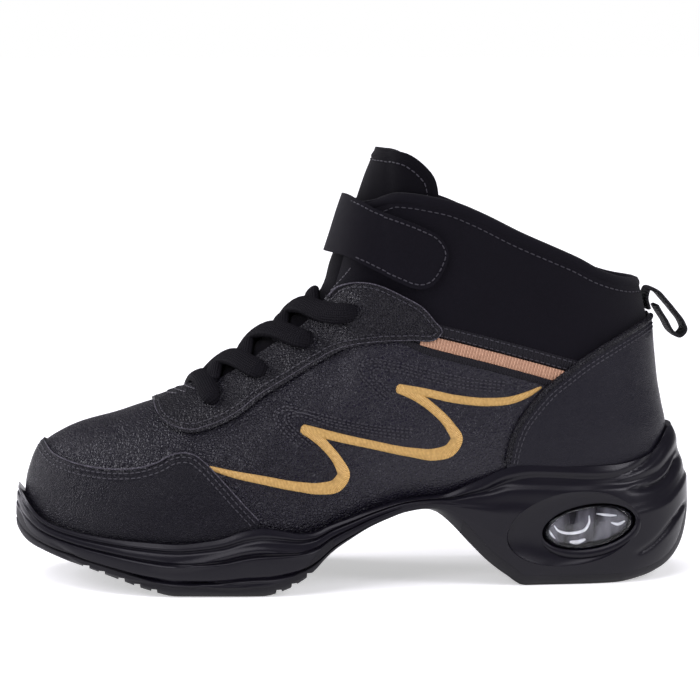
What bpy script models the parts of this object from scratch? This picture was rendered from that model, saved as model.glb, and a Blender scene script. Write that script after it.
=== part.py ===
"""Dance sneaker, a left shoe: high collar, laced throat with a strap, split sole with a clear heel window.

Metres, +Z up. The toe points to -X, the outer side of the foot faces -Y. The origin is on the ground,
under the middle of the shoe. Tables give lengths as shares of SOLE_LENGTH from the toe end, and heights
as shares of TONGUE_HEIGHT from the ground.
"""
import math

import bmesh
import bpy
import numpy as np
from mathutils import Vector
from mathutils.bvhtree import BVHTree

# Driving sizes
SOLE_LENGTH = 0.2635
TONGUE_HEIGHT = 0.168
BALL_WIDTH = 0.086
HEEL_WIDTH = 0.064
ANKLE_WIDTH = 0.054
SOLE_FLARE = 0.005

# Walls and clearances
GAP = 0.0003
UPPER_WALL = 0.0022
LEATHER_STEP = 0.0010
OVERLAY_WALL = 0.0011
RIBBON_WALL = 0.0008
TONGUE_WALL = 0.0038
STRAP_WALL = 0.0026
STRAP_STANDOFF = 0.0003
INSOLE_THICKNESS = 0.0032
OUTSOLE_THICKNESS = 0.0042
THROAT_HALF_WIDTH = 0.0120
TONGUE_HALF_WIDTH = 0.0265
LACE_WIDTH = 0.0064
LACE_THICKNESS = 0.0015
LACE_CROSSING_RISE = 0.0011
LACE_SAG = 0.0010
LACE_CLEARANCE = 0.0011
LOOP_WIDTH = 0.0130
LOOP_THICKNESS = 0.0015
GROOVE_DEPTH = 0.0016
GROOVE_WIDTH = 0.0024
PIVOT_RADIUS = 0.0175
RECESS_DEPTH = 0.0036
WINDOW_HALF_LENGTH = 0.0182
WINDOW_HALF_HEIGHT = 0.0086
WINDOW_TILT = math.radians(9.0)
RECESS_MARGIN_BACK = 0.0030
RECESS_HALF_LENGTH = 0.0262
RECESS_HALF_HEIGHT = 0.0142

# Mesh density
POINTS_AROUND = 32
FORM_LEVELS = 18
SOLE_POINTS_AROUND = 44
REACH = 0.120

# Front line of the last, from the toe's feather edge over the vamp to the top of the tongue:
# length share, height share
FRONT_LINE = (
    (0.0170, 0.167),
    (0.0175, 0.226),
    (0.0240, 0.274),
    (0.0400, 0.317),
    (0.0680, 0.340),
    (0.1020, 0.360),
    (0.1520, 0.381),
    (0.1970, 0.406),
    (0.2420, 0.431),
    (0.2800, 0.457),
    (0.3300, 0.511),
    (0.3790, 0.568),
    (0.4240, 0.620),
    (0.4500, 0.662),
    (0.4650, 0.720),
    (0.4780, 0.790),
    (0.4900, 0.862),
    (0.5060, 0.940),
    (0.5215, 1.000),
    (0.5370, 1.070),
)

# Back line of the last, from the footbed up: height share, length share
BACK_LINE = (
    (0.190, 0.9480),
    (0.270, 0.9600),
    (0.340, 0.9600),
    (0.400, 0.9530),
    (0.450, 0.9470),
    (0.520, 0.9420),
    (0.600, 0.9370),
    (0.650, 0.9300),
    (0.690, 0.9240),
    (0.800, 0.9200),
    (0.950, 0.9250),
)

# Footbed, where the foot's weight is carried: length share, height share
FOOTBED = (
    (0.000, 0.200),
    (0.030, 0.158),
    (0.065, 0.124),
    (0.120, 0.096),
    (0.200, 0.081),
    (0.290, 0.081),
    (0.365, 0.098),
    (0.425, 0.120),
    (0.470, 0.150),
    (0.515, 0.178),
    (0.555, 0.197),
    (0.600, 0.205),
    (0.670, 0.209),
    (0.800, 0.212),
    (1.000, 0.226),
)

# Plan of the last: length share, shift of the centre line as a share of BALL_WIDTH,
# half-width as a share of BALL_WIDTH before the heel's own width takes over
LAST_PLAN = (
    (0.000, 0.110, 0.400),
    (0.080, 0.080, 0.440),
    (0.160, 0.050, 0.478),
    (0.240, 0.025, 0.498),
    (0.320, 0.000, 0.500),
    (0.400, -0.018, 0.478),
    (0.500, -0.022, 0.428),
    (0.600, -0.012, 0.392),
    (0.700, 0.000, 0.374),
    (0.820, 0.010, 0.372),
    (1.000, 0.012, 0.366),
)

# How the last narrows with height above the footbed: rise as a share of TONGUE_HEIGHT, share of the width
WIDTH_BY_RISE = (
    (0.000, 0.900),
    (0.060, 0.985),
    (0.130, 1.000),
    (0.270, 0.955),
    (0.400, 0.880),
    (0.560, 0.820),
    (0.700, 0.820),
    (1.000, 0.850),
)

# Roundness of the section across the foot: length share, exponent (2 is an ellipse, more is boxier)
SECTION_ROUNDNESS = (
    (0.00, 2.45),
    (0.15, 2.35),
    (0.28, 2.05),
    (0.42, 1.95),
    (0.55, 2.20),
    (1.00, 2.40),
)

# Top edge of the sole's side: length share, height share
SOLE_RIM = (
    (0.000, 0.218),
    (0.014, 0.182),
    (0.034, 0.155),
    (0.062, 0.142),
    (0.105, 0.131),
    (0.180, 0.122),
    (0.228, 0.119),
    (0.268, 0.125),
    (0.292, 0.132),
    (0.324, 0.149),
    (0.348, 0.155),
    (0.379, 0.148),
    (0.405, 0.140),
    (0.422, 0.141),
    (0.447, 0.156),
    (0.477, 0.171),
    (0.513, 0.190),
    (0.559, 0.208),
    (0.615, 0.216),
    (0.653, 0.238),
    (0.679, 0.254),
    (0.708, 0.273),
    (0.734, 0.279),
    (0.807, 0.274),
    (0.872, 0.275),
    (0.906, 0.283),
    (0.933, 0.296),
    (0.954, 0.324),
    (0.975, 0.350),
    (1.000, 0.360),
)

# Underside of the sole, seen from the side: length share, height share
SOLE_UNDERSIDE = (
    (0.000, 0.135),
    (0.008, 0.112),
    (0.020, 0.094),
    (0.045, 0.080),
    (0.105, 0.052),
    (0.147, 0.033),
    (0.185, 0.014),
    (0.228, 0.000),
    (0.350, 0.000),
    (0.382, 0.012),
    (0.405, 0.030),
    (0.422, 0.050),
    (0.434, 0.072),
    (0.449, 0.095),
    (0.477, 0.125),
    (0.500, 0.147),
    (0.528, 0.166),
    (0.552, 0.179),
    (0.582, 0.185),
    (0.600, 0.181),
    (0.614, 0.168),
    (0.630, 0.145),
    (0.655, 0.103),
    (0.685, 0.056),
    (0.710, 0.026),
    (0.738, 0.000),
    (0.872, 0.000),
    (0.913, 0.008),
    (0.940, 0.018),
    (0.962, 0.036),
    (0.980, 0.064),
    (0.993, 0.110),
    (1.000, 0.190),
)

# Side of the midsole from the underside up to the rim: share of the side's height,
# outset at the forefoot and at the heel, and lean of the back end, all three as shares of SOLE_FLARE
SOLE_SIDE = (
    (0.00, -0.85, -1.10, 0.00),
    (0.05, -0.35, -0.55, 0.00),
    (0.14, -0.02, -0.18, 0.00),
    (0.24, 0.04, 0.00, 0.00),
    (0.28, -0.22, 0.04, 0.00),
    (0.33, 0.04, 0.08, 0.00),
    (0.58, 0.00, 0.08, -0.05),
    (0.63, -0.28, -0.24, -0.25),
    (0.68, -0.08, -0.04, -0.25),
    (0.80, -0.16, -0.16, -0.55),
    (0.85, -0.42, -0.52, -0.70),
    (0.90, -0.30, -0.40, -0.75),
    (1.00, -0.46, -0.62, -0.95),
)

# Edge of the toe guard, from in front of the toe to the rim: length share, height share
TOE_GUARD_EDGE = (
    (-0.020, 0.336),
    (0.035, 0.333),
    (0.042, 0.322),
    (0.054, 0.302),
    (0.076, 0.287),
    (0.108, 0.277),
    (0.141, 0.274),
    (0.184, 0.281),
    (0.206, 0.293),
    (0.223, 0.307),
    (0.239, 0.312),
    (0.256, 0.309),
    (0.271, 0.293),
    (0.293, 0.259),
    (0.318, 0.217),
    (0.345, 0.172),
)

# Outline of the eyestay: length share, height share
EYESTAY_EDGE = (
    (0.203, 0.480),
    (0.204, 0.422),
    (0.207, 0.395),
    (0.213, 0.381),
    (0.222, 0.371),
    (0.248, 0.360),
    (0.284, 0.372),
    (0.320, 0.399),
    (0.353, 0.437),
    (0.395, 0.477),
    (0.437, 0.516),
    (0.480, 0.552),
    (0.524, 0.564),
    (0.568, 0.567),
    (0.607, 0.571),
    (0.614, 0.585),
    (0.604, 0.608),
    (0.587, 0.639),
    (0.560, 0.664),
    (0.534, 0.684),
    (0.507, 0.694),
    (0.490, 0.692),
    (0.472, 0.679),
    (0.460, 0.657),
    (0.440, 0.700),
    (0.300, 0.660),
)

# Upper edge of the leather, where the collar fabric begins: length share, height share
LEATHER_EDGE = (
    (0.452, 0.760),
    (0.462, 0.662),
    (0.474, 0.674),
    (0.491, 0.686),
    (0.507, 0.688),
    (0.533, 0.678),
    (0.558, 0.658),
    (0.584, 0.633),
    (0.600, 0.604),
    (0.606, 0.546),
    (0.634, 0.529),
    (0.683, 0.505),
    (0.734, 0.482),
    (0.790, 0.462),
    (0.830, 0.520),
    (0.900, 0.570),
    (0.945, 0.598),
    (1.020, 0.602),
)

# Edge of the heel counter, from the rim up to the back: length share, height share
COUNTER_EDGE = (
    (0.7095, 0.285),
    (0.7135, 0.318),
    (0.7260, 0.370),
    (0.7470, 0.415),
    (0.7690, 0.452),
    (0.7950, 0.484),
    (0.8200, 0.513),
    (0.8590, 0.548),
    (0.8990, 0.579),
    (0.9420, 0.605),
    (1.0200, 0.610),
)

# Ribbon along the quarter's top: length share, height share of its upper and of its lower edge
RIBBON_EDGES = (
    (0.6180, 0.5670, 0.5400),
    (0.6500, 0.5540, 0.5270),
    (0.7000, 0.5330, 0.5060),
    (0.7500, 0.5115, 0.4845),
    (0.7760, 0.5000, 0.4720),
)

# Top of the collar from the front wing to the heel: length share, height share
COLLAR_EDGE = (
    (0.480, 0.872),
    (0.523, 0.883),
    (0.546, 0.897),
    (0.571, 0.896),
    (0.599, 0.889),
    (0.635, 0.876),
    (0.672, 0.852),
    (0.731, 0.806),
    (0.791, 0.765),
    (0.817, 0.747),
    (0.855, 0.716),
    (0.898, 0.696),
    (0.930, 0.692),
    (1.020, 0.692),
)

# Outline of the tongue: length share, height share
TONGUE_EDGE = (
    (0.380, 1.004),
    (0.505, 1.004),
    (0.534, 0.998),
    (0.567, 0.986),
    (0.596, 0.960),
    (0.619, 0.932),
    (0.629, 0.904),
    (0.622, 0.840),
    (0.590, 0.750),
    (0.545, 0.660),
    (0.490, 0.590),
    (0.420, 0.505),
    (0.345, 0.430),
    (0.262, 0.380),
    (0.252, 0.400),
    (0.252, 0.520),
)

# Outline of the strap: length share, height share
STRAP_EDGE = (
    (0.380, 0.893),
    (0.484, 0.893),
    (0.498, 0.885),
    (0.521, 0.864),
    (0.555, 0.843),
    (0.591, 0.820),
    (0.610, 0.804),
    (0.622, 0.779),
    (0.625, 0.761),
    (0.621, 0.736),
    (0.612, 0.709),
    (0.601, 0.691),
    (0.584, 0.683),
    (0.572, 0.686),
    (0.555, 0.697),
    (0.528, 0.718),
    (0.500, 0.740),
    (0.478, 0.757),
    (0.380, 0.762),
)

# Eyelets from the toe end up: length share on the outer side and on the inner side,
# sideways place as a share of THROAT_HALF_WIDTH
EYELETS = (
    (0.290, 0.270, 1.80),
    (0.357, 0.342, 1.72),
    (0.420, 0.408, 1.66),
    (0.474, 0.464, 1.72),
)

# Side view of the pull loop, along its middle: length share, height share
LOOP_PATH = (
    (0.9405, 0.6180),
    (0.9368, 0.6480),
    (0.9410, 0.6660),
    (0.9520, 0.6600),
    (0.9660, 0.6380),
    (0.9800, 0.6120),
    (0.9930, 0.5840),
    (0.9960, 0.5690),
    (0.9870, 0.5540),
    (0.9780, 0.5620),
    (0.9660, 0.5920),
    (0.9560, 0.6160),
    (0.9525, 0.6260),
)

# Treads: length shares of the cross grooves, and of the pivot ring's middle
FOREFOOT_GROOVES = (0.150, 0.196, 0.374)
HEEL_GROOVES = (0.755, 0.805, 0.855)
PIVOT_PLACE = 0.285
WINDOW_PLACE = (0.8320, 0.1340)


def x_at(share):
    """Place along the shoe, from a share of the sole's length."""
    return (share - 0.5) * SOLE_LENGTH


def smooth_value(at, places, values):
    """Smooth curve through a table, without overshoot between its rows."""
    places = np.asarray(places, float)
    values = np.asarray(values, float)
    spans = np.diff(places)
    slopes = np.diff(values) / spans
    tangents = np.zeros(len(values))
    tangents[0] = slopes[0]
    tangents[-1] = slopes[-1]
    for row in range(1, len(values) - 1):
        before = slopes[row - 1]
        after = slopes[row]
        if before * after > 0:
            near = 2 * spans[row] + spans[row - 1]
            far = spans[row] + 2 * spans[row - 1]
            tangents[row] = (near + far) / (near / before + far / after)
    at = np.clip(np.asarray(at, float), places[0], places[-1])
    row = np.clip(np.searchsorted(places, at, side="right") - 1, 0, len(spans) - 1)
    span = spans[row]
    part = (at - places[row]) / span
    start = (1 + 2 * part) * (1 - part) ** 2 * values[row]
    start_slope = part * (1 - part) ** 2 * span * tangents[row]
    end = part ** 2 * (3 - 2 * part) * values[row + 1]
    end_slope = part ** 2 * (part - 1) * span * tangents[row + 1]
    return start + start_slope + end + end_slope


def column(table, index):
    """One column of a table."""
    return [row[index] for row in table]


def height_from(table, x):
    """Height over the ground at a place along the shoe, from a table of length and height shares."""
    share = np.asarray(x) / SOLE_LENGTH + 0.5
    return TONGUE_HEIGHT * smooth_value(share, column(table, 0), column(table, 1))


def footbed_height(x):
    """Height of the footbed over the ground."""
    return height_from(FOOTBED, x)


def front_line_points():
    """Fine points along the last's front line."""
    rows = np.array(FRONT_LINE)
    points = np.column_stack((x_at(rows[:, 0]), TONGUE_HEIGHT * rows[:, 1]))
    steps = np.linalg.norm(np.diff(points, axis=0), axis=1)
    along = np.concatenate(((0.0,), np.cumsum(steps)))
    fine = np.linspace(0.0, along[-1], 400)
    fine_x = smooth_value(fine, along, points[:, 0])
    fine_z = smooth_value(fine, along, points[:, 1])
    return fine, fine_x, fine_z


FRONT_ALONG, FRONT_X, FRONT_Z = front_line_points()


def front_height(x):
    """Height of the last's front line, which keeps rising behind the ankle's front."""
    beyond = np.maximum(0.0, np.asarray(x) - FRONT_X[-1])
    rise_past_top = 6.0
    return np.interp(x, FRONT_X, FRONT_Z) + rise_past_top * beyond


def back_place(z):
    """Place of the last's back line at a height."""
    share = np.asarray(z) / TONGUE_HEIGHT
    return x_at(smooth_value(share, column(BACK_LINE, 0), column(BACK_LINE, 1)))


def centre_line(x):
    """Sideways place of the shoe's middle, which bends inwards at the toe."""
    share = np.asarray(x) / SOLE_LENGTH + 0.5
    return BALL_WIDTH * smooth_value(share, column(LAST_PLAN, 0), column(LAST_PLAN, 1))


def plan_half_width(x):
    """Half-width of the last before its ends are rounded."""
    share = np.asarray(x) / SOLE_LENGTH + 0.5
    from_ball = BALL_WIDTH * smooth_value(share, column(LAST_PLAN, 0), column(LAST_PLAN, 2))
    heel_start = 0.45
    heel_full = 0.80
    blend = np.clip((share - heel_start) / (heel_full - heel_start), 0.0, 1.0)
    blend = blend * blend * (3 - 2 * blend)
    heel_share_at_end = LAST_PLAN[-2][2]
    heel_scale = (HEEL_WIDTH / 2) / (heel_share_at_end * BALL_WIDTH)
    return from_ball * (1 + (heel_scale - 1) * blend)


def round_end(distance, radius, power):
    """Share of the width that is left at a distance from a rounded end."""
    inside = np.clip(1 - np.asarray(distance) / radius, 0.0, 1.0)
    return np.maximum(0.0, 1 - inside ** power) ** (1 / power)


def last_half_width(x, z):
    """Half-width of the last at a place along the shoe and a height."""
    floor = footbed_height(x)
    rise = np.maximum(0.0, z - floor)
    share = np.clip(rise / np.maximum(front_height(x) - floor, 1e-6), 0.0, 1.0)
    roundness = smooth_value(
        np.asarray(x) / SOLE_LENGTH + 0.5, column(SECTION_ROUNDNESS, 0), column(SECTION_ROUNDNESS, 1)
    )
    arch = np.maximum(0.0, 1 - share ** roundness) ** (1 / roundness)
    foot_taper = smooth_value(rise / TONGUE_HEIGHT, column(WIDTH_BY_RISE, 0), column(WIDTH_BY_RISE, 1))
    ankle_start = 0.40
    ankle_full = 0.70
    ankle = np.clip((rise / TONGUE_HEIGHT - ankle_start) / (ankle_full - ankle_start), 0.0, 1.0)
    ankle_scale = ANKLE_WIDTH / (HEEL_WIDTH * WIDTH_BY_RISE[-2][1])
    taper = foot_taper * (1 + (ankle_scale - 1) * ankle)
    toe_radius = 0.060
    heel_radius = 0.042
    toe = round_end(x - FRONT_X[0] + 0.0004, toe_radius, 2.15)
    heel = round_end(back_place(z) - x, heel_radius, 2.1)
    return plan_half_width(x) * taper * arch * toe * heel


def form_grid(offset, drop=0.0):
    """Rings of points round the last from the footbed up, moved outwards by offset."""
    turn = np.linspace(0.0, 2 * math.pi, POINTS_AROUND, endpoint=False)
    forward = (1 - np.cos(turn)) / 2
    side = np.where(turn <= math.pi, -1.0, 1.0)
    rings = []
    top_of_back = 0.93 * TONGUE_HEIGHT
    for level in range(FORM_LEVELS):
        share = level / (FORM_LEVELS - 1)
        along = FRONT_ALONG[-1] * share
        front_x = float(np.interp(along, FRONT_ALONG, FRONT_X))
        front_z = float(np.interp(along, FRONT_ALONG, FRONT_Z))
        lowest_back = float(footbed_height(back_place(0.0)))
        back_z = lowest_back + (top_of_back - lowest_back) * share ** 1.15
        back_x = float(back_place(back_z))
        x = back_x + (front_x - back_x) * forward
        z = back_z + (front_z - back_z) * forward
        sag = footbed_height(x) - (
            footbed_height(back_x) + (footbed_height(front_x) - footbed_height(back_x)) * forward
        )
        hold = max(0.0, 1 - share / 0.45) ** 1.5
        z = z + sag * hold
        half = last_half_width(x, z)
        half[np.isclose(forward, 0.0) | np.isclose(forward, 1.0)] = 0.0
        rings.append(np.column_stack((x, centre_line(x) + side * half, z)))
    grid = np.array(rings)
    around = np.roll(grid, -1, axis=1) - np.roll(grid, 1, axis=1)
    upward = np.gradient(grid, axis=0)
    normals = np.cross(upward, around)
    normals[0, :, 2] = 0.0
    normals[-1, :, 2] = 0.0
    normals /= np.linalg.norm(normals, axis=2, keepdims=True)
    grid = grid + normals * offset
    grid[0, :, 2] -= drop
    return grid


def mesh_object(name, points, faces):
    """New object from points and faces."""
    mesh = bpy.data.meshes.new(name)
    mesh.from_pydata([tuple(point) for point in points], [], faces)
    mesh.validate()
    obj = bpy.data.objects.new(name, mesh)
    bpy.context.collection.objects.link(obj)
    return obj


def ladder(first, last_count):
    """Faces that close a ring whose first and middle points are its two ends."""
    half = last_count // 2
    faces = []
    for step in range(half):
        left = first + step
        left_next = first + step + 1
        right = first + (last_count - step) % last_count
        right_next = first + last_count - step - 1
        corners = []
        for corner in (left, left_next, right_next, right):
            if corner not in corners:
                corners.append(corner)
        faces.append(tuple(corners))
    return faces


def ring_solid(name, grid):
    """Closed body from a stack of rings, bottom ring first."""
    levels, around = grid.shape[:2]
    faces = []
    for level in range(levels - 1):
        for step in range(around):
            after = (step + 1) % around
            low = level * around
            high = low + around
            faces.append((low + step, low + after, high + after, high + step))
    bottom = [tuple(reversed(face)) for face in ladder(0, around)]
    top = ladder((levels - 1) * around, around)
    obj = mesh_object(name, grid.reshape(-1, 3), faces + bottom + top)
    turn_faces_out(obj)
    return obj


def turn_faces_out(obj):
    """Make every face of a closed body point outwards, in triangles."""
    work = bmesh.new()
    work.from_mesh(obj.data)
    bmesh.ops.triangulate(work, faces=work.faces)
    bmesh.ops.recalc_face_normals(work, faces=work.faces)
    if work.calc_volume(signed=True) < 0:
        bmesh.ops.reverse_faces(work, faces=work.faces)
    work.to_mesh(obj.data)
    work.free()


def form_solid(name, offset, drop=0.0):
    """Closed body of the last, moved outwards by offset."""
    return ring_solid(name, form_grid(offset, drop))


def prism_y(name, outline, low=-REACH, high=REACH):
    """Closed body with an outline in the side view, between two places across the shoe."""
    count = len(outline)
    points = [(x, low, z) for x, z in outline] + [(x, high, z) for x, z in outline]
    faces = [tuple(range(count)), tuple(range(2 * count - 1, count - 1, -1))]
    for step in range(count):
        after = (step + 1) % count
        faces.append((step, step + count, after + count, after))
    obj = mesh_object(name, points, faces)
    turn_faces_out(obj)
    return obj


def prism_z(name, outline, low, high):
    """Closed body with an outline in the plan, between two heights."""
    count = len(outline)
    points = [(x, y, low) for x, y in outline] + [(x, y, high) for x, y in outline]
    faces = [tuple(range(count - 1, -1, -1)), tuple(range(count, 2 * count))]
    for step in range(count):
        after = (step + 1) % count
        faces.append((step, after, after + count, step + count))
    obj = mesh_object(name, points, faces)
    turn_faces_out(obj)
    return obj


def side_outline(table):
    """Side view points in metres from a table of shares."""
    return [(x_at(row[0]), TONGUE_HEIGHT * row[1]) for row in table]


def combine(obj, cutter, operation):
    """Boolean of two bodies, kept in the first. The second one goes."""
    modifier = obj.modifiers.new(operation.title(), "BOOLEAN")
    modifier.operation = operation
    modifier.object = cutter
    modifier.solver = "EXACT"
    graph = bpy.context.evaluated_depsgraph_get()
    mesh = bpy.data.meshes.new_from_object(obj.evaluated_get(graph))
    obj.modifiers.clear()
    obj.data = mesh
    bpy.data.objects.remove(cutter)
    clean(obj)
    return obj


def clean(obj):
    """Merge points closer than two thousandths of a millimetre and drop loose bits."""
    merge_distance = 0.000002
    work = bmesh.new()
    work.from_mesh(obj.data)
    bmesh.ops.remove_doubles(work, verts=work.verts, dist=merge_distance)
    bmesh.ops.dissolve_degenerate(work, edges=work.edges, dist=merge_distance)
    loose = [vert for vert in work.verts if not vert.link_faces]
    bmesh.ops.delete(work, geom=loose, context="VERTS")
    work.to_mesh(obj.data)
    work.free()


def finish(obj, name, colour, roughness, metallic=0.0, alpha=1.0):
    """Name a piece, give it its material and smooth its round faces."""
    obj.name = name
    obj.data.name = name
    material = bpy.data.materials.new(name)
    material.use_nodes = True
    shader = material.node_tree.nodes["Principled BSDF"]
    shader.inputs["Base Color"].default_value = (*colour, 1.0)
    shader.inputs["Roughness"].default_value = roughness
    shader.inputs["Metallic"].default_value = metallic
    shader.inputs["Alpha"].default_value = alpha
    obj.data.materials.clear()
    obj.data.materials.append(material)
    obj.data.shade_smooth()
    obj.data.set_sharp_from_angle(angle=math.radians(35))
    return obj


def throat_slot(name, widen=0.0):
    """Upright body of the throat opening: a slot with a round end at the toe side."""
    front = x_at(0.268)
    back = x_at(0.562)
    half = THROAT_HALF_WIDTH + widen
    outline = []
    steps = 8
    for step in range(steps + 1):
        turn = math.pi / 2 + math.pi * step / steps
        x = front + half + half * math.cos(turn)
        y = half * math.sin(turn)
        outline.append((x, y + float(centre_line(x))))
    outline.append((back, float(centre_line(back)) - half))
    outline.append((back, float(centre_line(back)) + half))
    return prism_z(name, outline, 0.30 * TONGUE_HEIGHT, 1.30 * TONGUE_HEIGHT)


def make_upper():
    """Hollow upper: collar fabric, thicker leather below its edge, open at collar, throat and underneath."""
    upper = form_solid("upper", 0.0)
    leather_top = side_outline(LEATHER_EDGE)
    region = [(-REACH * 1.6, leather_top[0][1])] + leather_top
    region = region + [(REACH * 1.6, leather_top[-1][1]), (REACH * 1.6, -REACH), (-REACH * 1.6, -REACH)]
    leather = form_solid("leather", LEATHER_STEP)
    combine(leather, prism_y("leather region", region), "INTERSECT")
    combine(upper, leather, "UNION")
    combine(upper, form_solid("inside", -UPPER_WALL, drop=0.01), "DIFFERENCE")
    collar_top = side_outline(COLLAR_EDGE)
    above = collar_top + [(REACH * 1.6, 2 * TONGUE_HEIGHT), (-REACH * 1.6, 2 * TONGUE_HEIGHT)]
    above.append((-REACH * 1.6, collar_top[0][1]))
    combine(upper, prism_y("above collar", above), "DIFFERENCE")
    combine(upper, throat_slot("throat"), "DIFFERENCE")
    return finish(upper, "upper", (0.016, 0.015, 0.018), 0.45)


def overlay(name, outline, inner, wall, colour, roughness, cut_throat=False, low=-REACH, high=REACH):
    """Piece cut between two larger forms of the upper, inside a side view outline."""
    piece = form_solid(name, inner + wall)
    combine(piece, prism_y(name + " region", outline, low, high), "INTERSECT")
    combine(piece, form_solid(name + " inside", inner, drop=0.01), "DIFFERENCE")
    if cut_throat:
        combine(piece, throat_slot(name + " throat", widen=0.0004), "DIFFERENCE")
    return finish(piece, name, colour, roughness)


def sole_rows():
    """Rows of the sole's side: height function, outset at forefoot and heel, lean of the back end."""
    rows = []
    for share, forefoot, heel, lean in SOLE_SIDE:
        rows.append((side_height(share), forefoot * SOLE_FLARE, heel * SOLE_FLARE, lean * SOLE_FLARE))
    return rows


def rim_points(start, end):
    """Side view points just above the sole's rim, from one place along the shoe to another."""
    rim = sole_grid(sole_rows()[-1:])[0][: SOLE_POINTS_AROUND // 2 + 1]
    order = np.argsort(rim[:, 0])
    places = rim[order, 0]
    heights = rim[order, 2]
    low = min(start, end)
    high = max(start, end)
    inside = [float(x) for x in places if low + GAP < x < high - GAP]
    chosen = [low] + inside + [high]
    if start > end:
        chosen.reverse()
    return [(x, float(np.interp(x, places, heights)) + GAP) for x in chosen]


def make_overlays():
    """Toe guard, eyestay, heel counter and ribbons, all sewn on the upper."""
    leather = LEATHER_STEP + GAP
    guard_edge = side_outline(TOE_GUARD_EDGE)
    guard = guard_edge + rim_points(guard_edge[-1][0], x_at(0.0))
    guard.append((guard_edge[0][0], guard[-1][1]))
    overlay("toe_guard", guard, leather, OVERLAY_WALL, (0.016, 0.015, 0.018), 0.4)
    eyestay = side_outline(EYESTAY_EDGE)
    overlay("eyestay", eyestay, leather, OVERLAY_WALL, (0.016, 0.015, 0.018), 0.4, cut_throat=True)
    counter_edge = side_outline(COUNTER_EDGE)
    back = counter_edge[-1][0]
    counter = counter_edge + [(back, float(height_from(SOLE_RIM, x_at(1.0))) + GAP)]
    counter = counter + rim_points(x_at(0.995), counter_edge[0][0])
    overlay("heel_counter", counter, leather, OVERLAY_WALL, (0.014, 0.013, 0.016), 0.35)
    upper_edge = [(x_at(row[0]), TONGUE_HEIGHT * row[1]) for row in RIBBON_EDGES]
    lower_edge = [(x_at(row[0]), TONGUE_HEIGHT * row[2]) for row in reversed(RIBBON_EDGES)]
    for name, low, high in (("ribbon_outer", -REACH, 0.0), ("ribbon_inner", 0.0, REACH)):
        ribbon = upper_edge + lower_edge
        overlay(name, ribbon, GAP, RIBBON_WALL, (0.62, 0.33, 0.20), 0.6, low=low, high=high)


def make_tongue():
    """Padded tongue under the throat, its top standing over the collar."""
    inner = -UPPER_WALL - GAP - TONGUE_WALL
    tongue = form_solid("tongue", inner + TONGUE_WALL)
    combine(tongue, prism_y("tongue region", side_outline(TONGUE_EDGE)), "INTERSECT")
    combine(tongue, form_solid("tongue inside", inner, drop=0.01), "DIFFERENCE")
    middle = float(centre_line(x_at(0.4)))
    band = [
        (-REACH * 1.6, middle - TONGUE_HALF_WIDTH),
        (REACH * 1.6, middle - TONGUE_HALF_WIDTH),
        (REACH * 1.6, middle + TONGUE_HALF_WIDTH),
        (-REACH * 1.6, middle + TONGUE_HALF_WIDTH),
    ]
    combine(tongue, prism_z("tongue band", band, -REACH, 2 * TONGUE_HEIGHT), "INTERSECT")
    return finish(tongue, "tongue", (0.012, 0.012, 0.013), 0.8)


def make_strap():
    """Closing strap round the front of the ankle."""
    strap = overlay(
        "strap", side_outline(STRAP_EDGE), STRAP_STANDOFF, STRAP_WALL, (0.012, 0.012, 0.013), 0.75
    )
    return strap


def make_insole():
    """Thin footbed inside the upper."""
    insole = form_solid("insole", -UPPER_WALL - GAP)
    places = np.linspace(x_at(-0.02), x_at(1.02), 40)
    low = [(float(x), -REACH) for x in (places[0], places[-1])]
    high = [(float(x), float(footbed_height(x)) + INSOLE_THICKNESS) for x in reversed(places)]
    combine(insole, prism_y("insole region", low + high), "INTERSECT")
    return finish(insole, "insole", (0.05, 0.05, 0.05), 0.9)


def sole_grid(rows):
    """Rings of the sole from rows of height function, two outsets and a lean."""
    turn = np.linspace(0.0, 2 * math.pi, SOLE_POINTS_AROUND, endpoint=False)
    forward = (1 - np.cos(turn)) / 2
    side = np.where(turn <= math.pi, -1.0, 1.0)
    rings = []
    for height, forefoot_outset, heel_outset, lean in rows:
        back_x = x_at(1.0) + heel_outset + lean
        front_x = x_at(0.0) - forefoot_outset * 0.5
        x = back_x + (front_x - back_x) * forward
        heelward = np.clip((x / SOLE_LENGTH + 0.5 - 0.40) / 0.25, 0.0, 1.0)
        heelward = heelward * heelward * (3 - 2 * heelward)
        outset = forefoot_outset + (heel_outset - forefoot_outset) * heelward
        toe_radius = 0.062
        heel_radius = 0.044
        ends = round_end(x - front_x, toe_radius, 2.2) * round_end(back_x - x, heel_radius, 2.15)
        half = (plan_half_width(x) + SOLE_FLARE + outset) * ends
        half[np.isclose(forward, 0.0) | np.isclose(forward, 1.0)] = 0.0
        rings.append(np.column_stack((x, centre_line(x) + side * half, height(x))))
    return np.array(rings)


def underside_height(x):
    """Height of the sole's underside."""
    return height_from(SOLE_UNDERSIDE, x)


def side_height(share):
    """Height of a row of the sole's side, between underside and rim."""
    def height(x):
        low = underside_height(x)
        return low + (height_from(SOLE_RIM, x) - low) * share
    return height


def outsole_top(x, lift):
    """Top of the outsole layer, as thick on the slopes as on the flats."""
    step = 0.002
    slope = (underside_height(x + step) - underside_height(x - step)) / (2 * step)
    steepest = 1.9
    slope = np.clip(slope, -steepest, steepest)
    return underside_height(x) + (OUTSOLE_THICKNESS + lift) * np.sqrt(1 + slope ** 2)


def pad_region(name, start, end, margin):
    """Side view region that an outsole pad takes up."""
    places = np.linspace(x_at(start), x_at(end), 44)
    high = [(float(x), float(outsole_top(x, margin))) for x in reversed(places)]
    high[0] = (high[0][0] + margin, high[0][1])
    high[-1] = (high[-1][0] - margin, high[-1][1])
    low = [(high[-1][0], -REACH), (high[0][0], -REACH)]
    return prism_y(name, low + high)


PADS = {
    "outsole_forefoot": (-0.02, 0.452, FOREFOOT_GROOVES),
    "outsole_heel": (0.642, 1.02, HEEL_GROOVES),
}


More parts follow.
